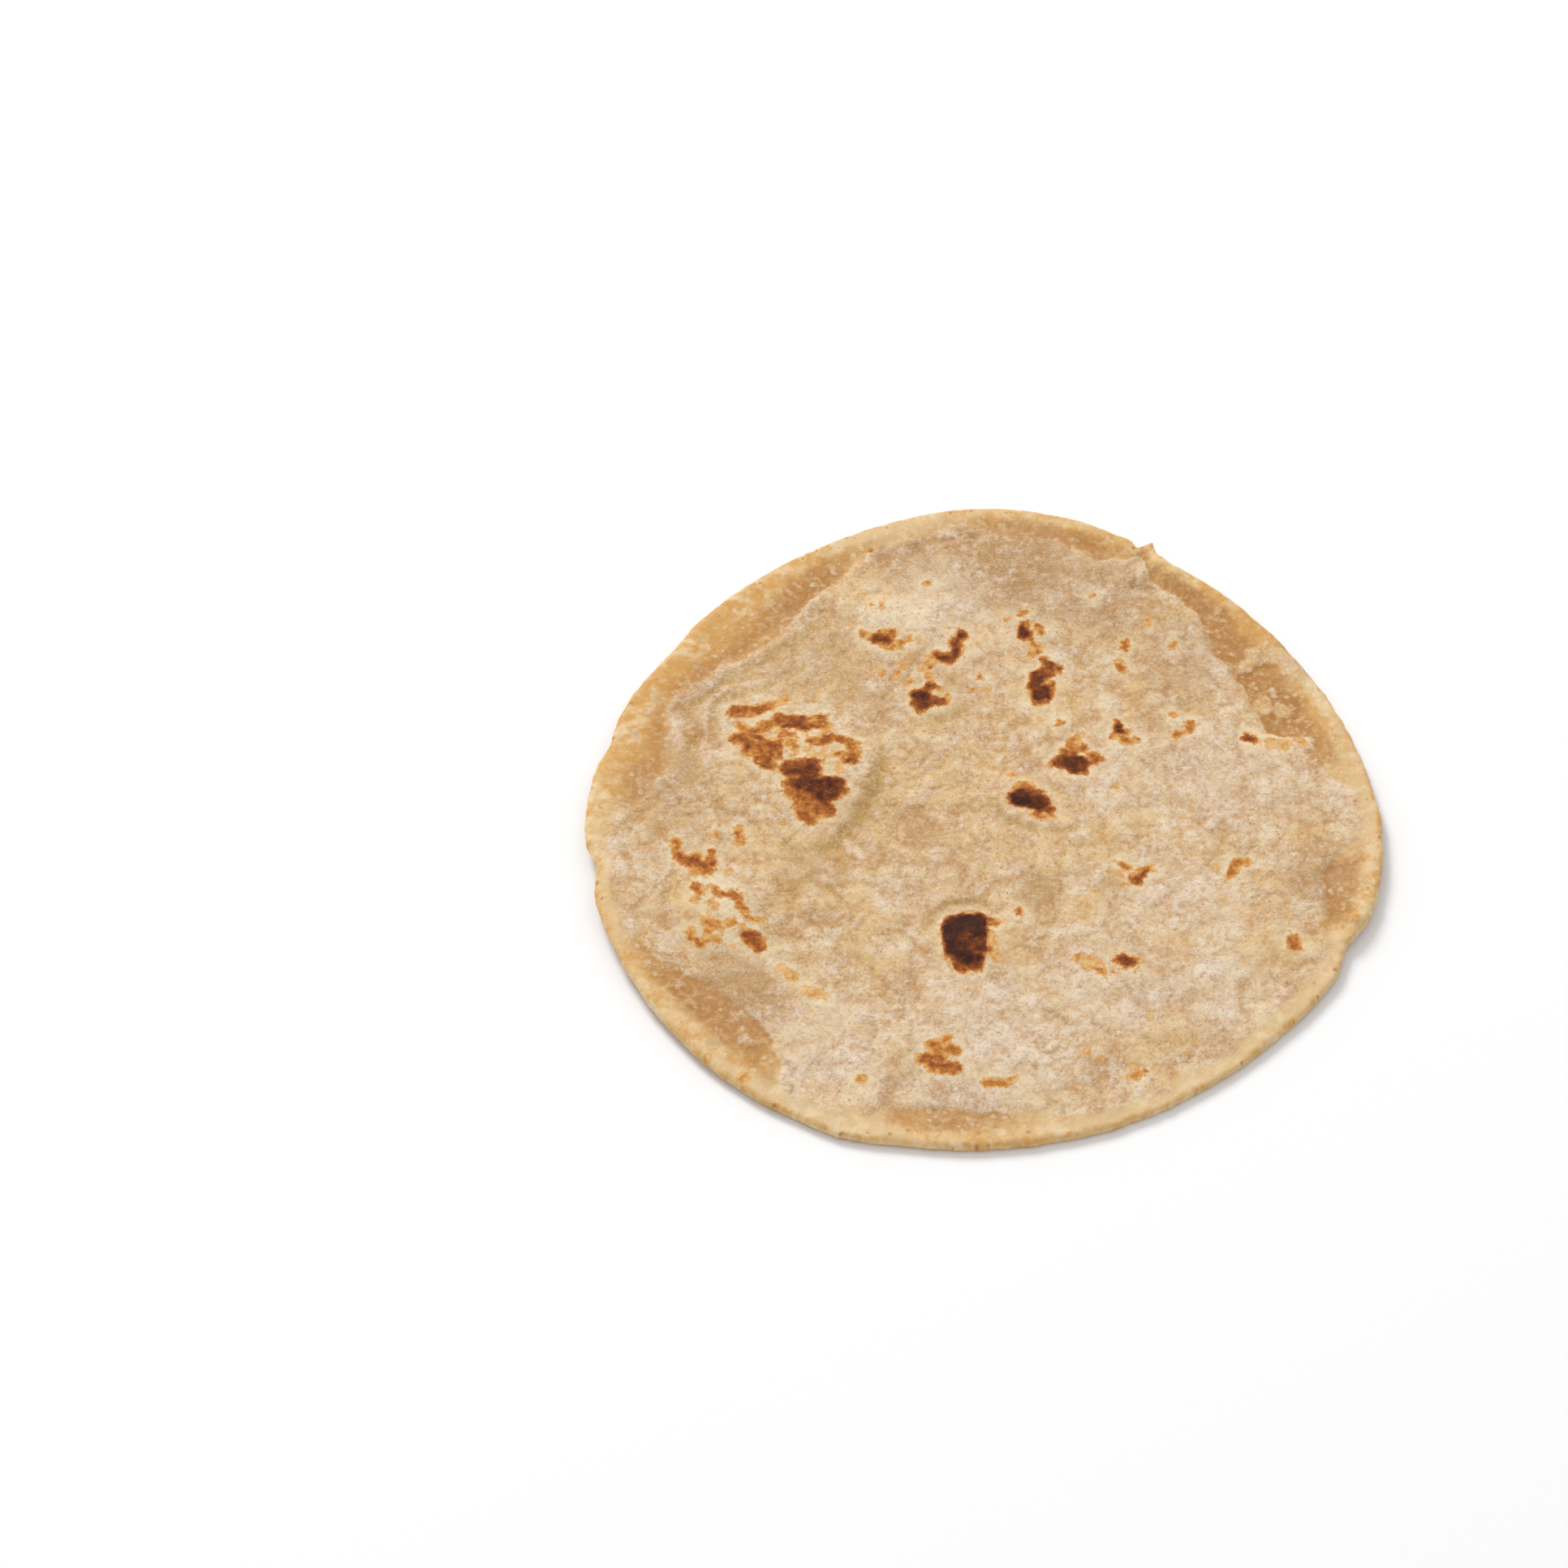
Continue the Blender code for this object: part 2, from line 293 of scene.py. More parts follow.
ROUND_SPOTS = (
    # right of the middle
    (0.95, 2.1, (7.5, 2.2), (9.5, 2)),
    (0.85, 2.3, (9, 3.4), (12.5, 1)),
    (0.95, 1.9, (11, 0.8), (12.8, -0.2)),
    (0.75, 1.3, (12.5, 0), (14, -1)),
    (0.38, 0.6, (13.8, -1.5), (15.3, -3)),
    (0.42, 0.8, (11, -2.3), (13, -3)),
    (0.28, 0.9, (7.5, 5.3), (10, 5.8)),
    (0.6, 1.2, (9.5, 4.8), (12, 3.5)),
    (0.86, 2.1, (18, 12.5), (21.5, 12)),
    (0.76, 1.2, (19.5, 10.5), (22, 10.2), (22, 13.3)),
    (0.58, 1.2, (16.3, 12.5), (17.5, 12)),
    (0.3, 0.6, (15.2, 11.5)),
    (0.6, 1.1, (18.5, 15), (20, 15)),
    (0.4, 1.1, (20, 17), (22.5, 16.5)),
    (0.28, 0.7, (19.7, 18.5), (21.3, 19)),
    (0.36, 0.65, (21.7, 20.2)),
    (0.44, 0.9, (24, 14.2), (25.8, 13.3)),
    (0.44, 0.8, (24.8, 14.8), (24.8, 12.3)),
    (0.38, 0.9, (17.8, 23.4)),
    # far side
    (0.5, 0.9, (15, 42), (16, 40.5)),
    (0.6, 1.4, (16, 40.5), (17.7, 39.5)),
    (0.64, 1.7, (16.3, 39.3), (14, 37)),
    (0.72, 1.8, (13.5, 37), (13, 34)),
    (0.86, 1.8, (13, 34), (13.6, 31)),
    (0.86, 1.5, (15, 33.5), (15, 31.5)),
    (0.5, 0.8, (16.5, 35), (16.2, 32)),
    (0.48, 0.9, (12.8, 29.4), (14.4, 30)),
    (0.86, 1.3, (11, 50), (11.5, 49.5)),
    (0.76, 1.2, (11, 51.8), (10.8, 49)),
    (0.5, 0.8, (11.5, 52), (12.4, 51.8)),
    (0.44, 0.7, (12, 48.5), (13, 47.2)),
    (0.28, 0.85, (13, 46.5), (13.5, 44.6)),
    (0.42, 0.6, (13, 52), (14.6, 51.8), (14.6, 50)),
    (0.24, 0.5, (14.8, 46.3), (14, 45.8)),
    (0.24, 0.6, (12, 44), (12, 43)),
    (0.5, 0.55, (10.2, 54.9), (11.7, 55.6)),
    (0.4, 0.35, (7, 53.5)),
    (0.76, 1.2, (-3.2, 49.3), (-4, 47), (-4.2, 44)),
    (0.55, 0.8, (-4.8, 48.5), (-4.9, 46.5)),
    (0.72, 1.25, (-4.2, 44), (-5.5, 42.4), (-8.2, 43.3)),
    (0.4, 0.5, (-9.4, 42.7)),
    (0.24, 0.8, (-11, 41.5), (-10, 42)),
    (0.76, 1.6, (-22, 48.3), (-20, 48.3)),
    (0.5, 1.0, (-21, 50), (-18.5, 49.7)),
    (0.34, 0.8, (-20.5, 46.6), (-19, 46), (-17, 46)),
    (0.38, 0.5, (-16.5, 47.2), (-15, 48)),
    (0.46, 0.5, (-14.7, 48.7), (-14.6, 47.3)),
    (0.4, 0.85, (-24.8, 49.7)),
    (0.88, 2.1, (-12.8, 31.5), (-11.5, 30)),
    (0.66, 1.6, (-13.5, 29.5), (-12.5, 28.3)),
    (0.6, 1.0, (-11, 32.5), (-10.2, 34)),
    (0.55, 1.3, (-10.5, 30), (-7.6, 30)),
    (0.42, 0.6, (-7.3, 30.5), (-6.9, 31.5)),
    (0.34, 0.4, (-10, 35), (-9.8, 37)),
    (0.3, 0.6, (-8.3, 33.5), (-7.8, 33.2)),
    # right side
    (0.9, 1.1, (30.5, 22.5), (30.7, 21)),
    (0.68, 0.9, (31.3, 21.5), (32, 21)),
    (0.55, 0.55, (30.3, 24), (30.4, 23)),
    (0.45, 1.0, (31, 19.5), (32, 18.3)),
    (0.4, 0.65, (32.5, 19), (33.7, 19)),
    (0.4, 0.6, (29, 19.5), (30, 19.8)),
    (0.58, 0.9, (46.3, 23.3), (45.9, 22)),
    (0.44, 0.6, (45.3, 21.5), (43.5, 20.8), (42.5, 19.8)),
    (0.66, 1.1, (58.2, 19.2), (59, 18.3)),
    (0.36, 0.75, (29.2, -16), (30.2, -17)),
    (0.46, 0.8, (33, -17.5), (34.8, -17.3)),
    (0.72, 0.75, (33.3, -18.4), (33, -19)),
    (0.66, 1.0, (31.5, -20), (32, -20.7)),
    (0.42, 1.0, (52.8, -16.5), (52, -18.5)),
    (0.36, 0.85, (52.8, -16), (54.8, -15.3)),
    (0.25, 0.6, (54.7, -15), (55.4, -16.2)),
    (0.24, 0.5, (51, -20)),
    (0.36, 1.0, (63.3, -35.7), (63.8, -36.5)),
    (0.36, 0.75, (63, -37.5), (64.5, -38.5)),
    # near side
    (0.76, 1.4, (27.4, -41.5), (29, -41.8)),
    (0.5, 0.75, (29.8, -41)),
    (0.4, 0.5, (30.3, -44)),
    (0.38, 0.55, (31.4, -41.2)),
    (0.3, 0.7, (18, -41)),
    (0.28, 0.7, (19.5, -43.3), (21, -43.3)),
    (0.36, 0.7, (23, -44), (23.6, -44.3)),
    (0.3, 0.5, (25.3, -44.2)),
    (0.14, 1.2, (20.3, -41.2), (22, -42)),
    (0.3, 0.9, (-10, -62), (-9.3, -61.3)),
    (0.38, 1.2, (-12.5, -63), (-11, -62.5)),
    (0.44, 1.2, (-9, -63.5), (-8, -64.3)),
    (0.3, 1.2, (-11.5, -64.5), (-10, -64)),
    (0.5, 1.6, (-13.5, -66.5), (-11, -66.5)),
    (0.52, 1.4, (-12.5, -68), (-10, -68.8), (-8, -68.4)),
    (0.3, 0.6, (-15, -66.5)),
    (0.36, 0.95, (-1.5, -72), (2, -72.3)),
    (0.5, 0.8, (1.5, -72.3)),
    (0.24, 0.65, (2.5, -71.8), (4.5, -71)),
    (0.38, 0.95, (-26.8, -71.2)),
    (0.3, 1.1, (-50.5, -71.2)),
    (0.22, 0.6, (-58, -66.5)),
    (0.4, 0.6, (28, -70.8), (30.5, -69.3)),
    (0.36, 0.5, (6.3, -28.6), (7.2, -29.5)),
)
FRECKLES = (
    (0.56, 0.85, (33.5, 46.8), (33.1, 45.8)),
    (0.42, 0.85, (31.5, 41), (32.3, 39.3)),
    (0.36, 0.8, (43.7, 46.2)),
    (0.3, 0.8, (38.8, 53)),
    (0.36, 0.5, (26.8, 61), (26.7, 60.4)),
    (0.28, 0.6, (32.6, 27)),
    (0.36, 0.7, (42.3, 26)),
    (0.25, 0.5, (-25, 61.3)),
    (0.2, 0.5, (-22.8, 58.2)),
    (0.2, 0.4, (-20.7, 58.2)),
    (0.3, 0.35, (-22.7, 74.9)),
    (0.22, 0.6, (-12.3, 48)),
    (0.28, 0.7, (-16, 40.8)),
    (0.28, 0.6, (-17.2, 38.2), (-17.5, 37)),
    (0.22, 0.6, (-21.2, 38.5), (-20.5, 37.5)),
    (0.28, 0.6, (-12.5, 39.5)),
    (0.34, 0.5, (-11, 37.7), (-10, 37.5)),
    (0.28, 0.5, (-15.5, 35.2), (-14.5, 35.6)),
    (0.22, 0.5, (-15, 43.5)),
    (0.4, 0.4, (-9.8, 40.2)),
    (0.38, 0.7, (1, 37)),
    (0.3, 0.8, (-0.8, 33)),
    (0.25, 0.5, (1.8, 33)),
    (0.22, 0.5, (6.6, 9)),
    (0.28, 0.6, (28.8, 5.7)),
    (0.12, 1.15, (63.1, 18), (63.2, 17)),
    (0.14, 1.05, (66.1, 17.9), (66.2, 16.8)),
    (0.14, 1.0, (69.2, 18.4), (69.8, 17.4)),
    (0.28, 0.4, (27.5, -15)),
    (0.3, 0.5, (28.2, -18.6)),
    (0.3, 0.5, (28.6, -21)),
    (0.15, 0.6, (48.7, -16.8)),
    (0.18, 0.6, (32.5, -55.8)),
    (0.18, 0.6, (19, -64.5)),
    (0.12, 0.5, (21.5, -66)),
    (0.06, 0.9, (-43, -43.8), (-40.5, -46)),
    (0.04, 1.0, (-38, -49.4), (-34.5, -50.6)),
    (0.12, 0.5, (28.2, -67.8)),
    (0.42, 0.75, (-10.4, 64.3)),
)

# Creases of the face: depth in mm, half width in mm, then the points of the path
CREASES = (
    (0.36, 1.7, (-20.5, 17), (-21.6, 10), (-22.8, 5), (-24.5, 1), (-27.6, -5), (-31.4, -9.5), (-37, -13.5)),
    (0.22, 1.1, (2, 2), (5, -3.5), (11, -6), (18, -6.5), (23, -4)),
    (0.3, 1.0, (-13, -34), (-11.2, -29), (-7.8, -26.4), (-2.6, -25.7), (3.5, -28.5)),
    (0.25, 1.2, (-15, 27), (-12, 25), (-7, 25.5), (-4.5, 29)),
    (0.3, 0.7, (-80.5, -12.2), (-78, -13), (-75.7, -15.3), (-74.3, -18.5), (-74, -22)),
    (0.25, 1.0, (-42, -17), (-40.5, -22), (-41, -29), (-43.5, -36), (-48, -41)),
    (0.2, 1.2, (-66, -20), (-68, -27), (-66.5, -34), (-62, -40)),
    (0.15, 1.4, (-20, -4), (-14, -2), (-9, 5), (-4, 8)),
    (0.5, 0.55, (56.5, 24.5), (56.2, 18), (56.8, 10)),
    (0.32, 0.7, (26, -58.5), (29.3, -60), (33, -62.2), (35.7, -65.5)),
    (0.2, 0.8, (17, -46), (20, -49.5), (24, -52.5)),
    (0.18, 0.9, (31, -47.5), (34, -49)),
    (0.2, 0.6, (-20.5, -71), (-19, -73.5), (-16.5, -74.5)),
    (0.3, 0.8, (35.2, 64), (38.5, 62.6), (41.5, 63.4)),
    (0.28, 0.7, (72, -29.5), (76, -29.3), (79, -29.8)),
    (0.25, 0.6, (71, -34), (74, -34), (75.5, -36)),
    (0.2, 0.6, (70, 30.5), (70.5, 27.5), (72, 25)),
    (0.15, 0.8, (-71, -3), (-67, -4.5), (-60, -3.5), (-54, -3)),
    (0.18, 0.8, (60.5, 40.3), (64, 40), (67, 39.5)),
    (0.2, 0.7, (62, -44), (66, -42), (69, -42.5)),
    (0.18, 0.6, (52, -52), (57, -51), (62, -51.5)),
)
OLIVE_CREASES = 4  # how many of the first creases are deep enough to take painted olive shade

# Low round swellings: x, y, radius in mm, rise in mm
SWELLINGS = (
    (-39.0, 11.0, 17.0, 0.35),
    (-56.0, -28.0, 14.0, 0.4),
    (-4.5, -36.5, 8.0, 0.35),
    (0.0, 16.0, 3.0, 0.3),
    (-35.6, -16.5, 2.0, 0.25),
    (23.0, -36.3, 2.4, 0.25),
    (-10.4, 64.3, 1.7, 0.4),
    (36.6, 66.4, 3.6, 0.6),
    (36.2, 72.4, 2.2, 0.5),
    (34.4, 69.8, 2.2, 0.4),
    (38.9, 66.8, 1.8, 0.35),
    (41.2, 76.0, 1.8, 0.4),
    (41.8, 70.2, 2.6, 0.5),
    (44.2, 67.2, 3.0, 0.4),
    (47.0, 69.0, 2.0, 0.35),
    (76.3, -31.8, 1.9, 0.8),
    (55.5, 57.0, 1.6, 0.4),
    (65.0, 33.8, 0.9, 0.3),
    (-13.0, 78.5, 3.2, 0.5),
    (-7.5, 84.5, 4.0, 0.3),
    (-38.5, -76.5, 2.2, 0.3),
)
TEAR = (0.8, 0.6, (39.2, 79.5), (38.9, 76), (38.5, 73), (38.7, 69.5))

# ---------------------------------------------------------------- colours, sRGB

# The wholemeal crumb, from its hollows to its tops: share of the height, colour. The height follows the
# relief's crest as well as random tone, so this ramp paints shade into the hollows and light onto the tops
CRUMB = (
    (0.0, "#BF996A"),
    (0.3, "#CEAC7F"),
    (0.6, "#D8BB92"),
    (1.0, "#DFCAAA"),
)
OILY_CRUMB = "#D7B479"
ROSY_CRUMB = "#C9A17D"
SHADED_CRUMB = "#B38F63"
# painted shade, darker brown in creases, partly brown dough
CREASE_SHADE_BROWN = "#A46E3A"
# painted shade, olive, for deep creases, wrinkles and the troughs of the pin's waves
OLIVE_DOUGH_SHADE = "#AC9152"
# painted shade for the pits and grooves of the fine relief
PORE_SHADE_TAN = "#B68650"
FLOUR = "#E6D8C6"
HALO_CREAM = "#E5D3B0"
LIP_PLAIN = "#D6B789"
LIP_PALE = "#DBB985"
LIP_GOLD = "#CC9A55"
VALLEY_GOLD = "#AD7A42"
VALLEY_ROSE = "#B98A60"
BLISTER_CREAM = "#E4CFA9"
BRAN_BROWN = "#9E6530"
FRINGE_STRAW = "#CF9140"
AMBER_DAB = "#D79A4C"
SCORCHED_SPECK = "#A2652C"

# How dough browns: share of the toasting, colour
BROWNING = (
    (0.0, "#DDB780"),
    (0.14, "#D39F5C"),
    (0.26, "#C68844"),
    (0.4, "#B36F34"),
    (0.55, "#9A5727"),
    (0.7, "#7F431F"),
    (0.85, "#5E2F19"),
    (1.0, "#3A2015"),
)


def smooth_step(share):
    share = np.clip(share, 0.0, 1.0)
    return share * share * (3.0 - 2.0 * share)


def bell(away, half_width):
    return np.exp(-((away / half_width) ** 2))


def turn_between(direction, other):
    """The signed turn from one direction to another, between -180 and 180."""
    return (direction - other + 180.0) % 360.0 - 180.0


def round_rim(direction, stretches):
    """Strength of some stretches of the rim in each direction."""
    return sum(
        strength * bell(turn_between(direction, at), half_width) for at, half_width, strength in stretches
    )


def noise_over(x, y, size, seed, octaves=1):
    """Smooth noise between about -1 and 1 whose lumps are about size mm apart."""
    roughness, finer = 0.9, 2.1
    found = [
        noise.fractal(Vector((u, v, seed)), roughness, finer, octaves)
        for u, v in zip((x / size).tolist(), (y / size).tolist())
    ]
    return np.array(found)


def brush(x, y, strokes, softness):
    """Cover of the strokes at each point, which is half along their sides, and their strength there."""
    cover = np.zeros_like(x)
    weights = np.full_like(x, 1e-9)
    weighted = np.zeros_like(x)
    for strength, half_width, *path in strokes:
        for (x0, y0), (x1, y1) in zip(path, path[1:] or path):
            run_x, run_y = x1 - x0, y1 - y0
            length = max(run_x * run_x + run_y * run_y, 1e-9)
            along = np.clip(((x - x0) * run_x + (y - y0) * run_y) / length, 0.0, 1.0)
            away = np.hypot(x - x0 - along * run_x, y - y0 - along * run_y)
            near = np.clip((half_width - away) / softness + 0.5, 0.0, 1.0)
            cover = np.maximum(cover, near)
            weights += near**4
            weighted += near**4 * strength
    return cover, weighted / weights


def patches(x, y, places):
    """Strength of soft round patches at each point."""
    here = np.zeros_like(x)
    for centre_x, centre_y, radius, strength in places:
        away = np.hypot(x - centre_x, y - centre_y) / radius
        here = np.maximum(here, strength * smooth_step(1.5 * (1.0 - away)))
    return here


def islets(x, y, places, ragged):
    """Cover of patches with a narrow uneven border at each point."""
    here = np.zeros_like(x)
    for centre_x, centre_y, radius in places:
        inside = radius - np.hypot(x - centre_x, y - centre_y) + ragged
        here = np.maximum(here, smooth_step(inside / ISLAND_STEP + 0.5))
    return here


def grooves(x, y, creases):
    """Depth of the creases at each point, with rounded sides that fade at the ends."""
    depth_here = np.zeros_like(x)
    for depth, half_width, *path in creases:
        lengths = [math.dist(start, end) for start, end in zip(path, path[1:])]
        total = sum(lengths)
        walked = 0.0
        deepest = np.zeros_like(x)
        for (x0, y0), (x1, y1), length in zip(path, path[1:], lengths):
            run_x, run_y = (x1 - x0) / length, (y1 - y0) / length
            along = np.clip((x - x0) * run_x + (y - y0) * run_y, 0.0, length)
            away = np.hypot(x - x0 - along * run_x, y - y0 - along * run_y)
            share = (walked + along) / total
            fade = np.sqrt(np.clip(4.0 * share * (1.0 - share), 0.0, 1.0))
            deepest = np.maximum(deepest, depth * fade * bell(away, half_width))
            walked += length
        depth_here += deepest
    return depth_here


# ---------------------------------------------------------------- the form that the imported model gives


class Form:
    """The bread's outline and the heights of its two faces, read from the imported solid."""

    RIM_WALL = 0.3  # a face whose normal leans less than this towards Z is part of the rim's wall
    HIGH = 0.05  # where the rays start, above and under the bread

    def __init__(self, solid):
        mesh = solid.data
        mesh.calc_loop_triangles()
        points = [vert.co.copy() for vert in mesh.vertices]
        faces = [tuple(triangle.vertices) for triangle in mesh.loop_triangles]
        self.tree = BVHTree.FromPolygons(points, faces)
        wall = {
            index
            for triangle in mesh.loop_triangles
            if abs(triangle.normal.z) < self.RIM_WALL
            for index in triangle.vertices
        }
        rim = sorted(
            (math.degrees(math.atan2(points[i].y, points[i].x)) % 360.0, points[i].xy.length / MM)
            for i in wall
        )
        self.rim_directions = np.array([direction for direction, _ in rim])
        self.rim_radii = np.array([radius for _, radius in rim])

    def edge(self, direction):
        """Distance from the middle to the edge, in mm."""
        return np.interp(direction, self.rim_directions, self.rim_radii, period=360.0)

    def heights(self, x, y, from_above):
        """Height of the upper face or the underside at each point, in mm."""
        down = Vector((0.0, 0.0, -1.0 if from_above else 1.0))
        start = self.HIGH if from_above else -self.HIGH
        found = []
        for u, v in zip((x * MM).tolist(), (y * MM).tolist()):
            hit, *_ = self.tree.ray_cast(Vector((u, v, start)), down)
            found.append(hit.z / MM if hit else 0.0)
        return np.array(found)


def disc_grid(rings):
    """A square grid bent into a disc: for each point its ring, counted from the middle, and direction."""
    side = np.arange(-rings, rings + 1, dtype=float)
    a, b = np.meshgrid(side, side, indexing="ij")
    ring = np.maximum(np.abs(a), np.abs(b))
    wide = np.abs(a) >= np.abs(b)
    longer = np.where(wide, a, b)
    slope = np.where(wide, b, a) / np.where(longer == 0.0, 1.0, longer)
    turn = np.where(wide, 45.0 * slope, 90.0 - 45.0 * slope)
    direction = (turn + np.where(longer < 0.0, 180.0, 0.0)) % 360.0
    return ring, direction


def evened(field, passes):
    """The field with the facets of the solid smoothed out of it."""
    for _ in range(passes):
        padded = np.pad(field, 1, mode="edge")
        field = (
            padded[:-2, 1:-1] + padded[2:, 1:-1] + padded[1:-1, :-2] + padded[1:-1, 2:]
        ) / 8.0 + field / 2.0
    return field


# ---------------------------------------------------------------- what the skin is like at each point


def band_at(direction):
    """Width of the smooth band of the rim, and how golden its inner side is."""
    at = [knot[0] for knot in RIM_BAND]
    width = np.interp(direction, at, [knot[1] for knot in RIM_BAND], period=360.0)
    gold = np.interp(direction, at, [knot[2] for knot in RIM_BAND], period=360.0)
    return width, gold


def clods(x, y, size, seed):
    """Rounded lumps about size mm across, with narrow creases between them: 0 in a crease, 1 on top."""
    return np.minimum(np.abs(noise_over(x, y, size, seed)) / 0.45, 1.0)


# What the mesh tells the material at each point, between 0 and 1
MASKS = (
    "toast_cover",
    "toast_heat",
    "halo",
    "face",
    "golden",
    "lip",
    "plain",
    "amber",
    "flour",
    "bare",
    "shade",
    "crest",
    "olive",
    "crease",
)
SPOT_SOFTNESS = 1.7  # mm over which a toasted spot's cover fades
HALO_REACH, HALO_SOFTNESS = 1.6, 3.2  # mm that a halo reaches past its spot, and mm over which it fades
TOASTED = 0.3  # a spot darker than this has a halo
WANDER = ((2.4, 0.55), (1.1, 0.3))  # size and reach in mm of the waves that bend every border

# Relief of the upper face, in mm
FORM_WAVES = 0.22  # slow waves of the whole face
FOLD_HEIGHT = 0.22
CREASE_GAIN = 1.5
WRINKLE_DEPTH = 0.12
BORDER_SWELL = 0.2  # the face is thicker beside a golden band
COARSE_CLODS, FINE_CLODS = 0.2, 0.1
GRIT = 0.035
BAND_LUMPS, BAND_PIMPLES, BAND_GRAIN = 0.22, 0.05, 0.03
SPOT_CRUST = 0.05
PALE_LIP_DROP = 0.5  # where the band isn't golden its lip is lower
CREST_LEVEL, CREST_RISE = 0.12, 0.5  # height that counts as half way up a crumb, and the whole rise


def wander(x, y, seed):
    """How far a border strays at each point, in mm."""
    return sum(reach * noise_over(x, y, size, seed + step) for step, (size, reach) in enumerate(WANDER))


def band_and_face(x, y, direction, from_edge):
    """What tells the smooth band of the rim from the floury face inside it, at each point.

    Returns how golden the band is, how far its border strays, how far inside the border the point is in
    mm, the cover of the face, and the depth of the gold.
    """
    width, gold = band_at(direction)
    ragged = 1.5 * noise_over(x, y, 6.5, 5.0, 2) + 0.45 * noise_over(x, y, 2.1, 6.0)
    ragged += noise_over(x, y, 4.5, 33.0, 2) * round_rim(direction, RAGGED_BORDER)
    inside = from_edge - width * (0.35 + 0.65 * smooth_step(1.6 * gold)) + ragged
    gentle = round_rim(direction, GENTLE_SLOPE)
    step = SHARP_STEP + (SOFT_STEP - SHARP_STEP) * (1.0 - gold) ** 1.5 + GENTLE_STEP * gentle
    islands = islets(x, y, ISLANDS, 0.9 * noise_over(x, y, 3.4, 34.0, 3))
    face = np.maximum(smooth_step(inside / step + 0.5), ISLAND_COVER * islands)
    deep = gold * smooth_step((from_edge - 1.2) / (width * (0.5 + 0.4 * gentle)))
    deep *= 1.0 - 0.7 * smooth_step((inside + 0.2) / 2.0)
    return gold, ragged, inside, face, deep


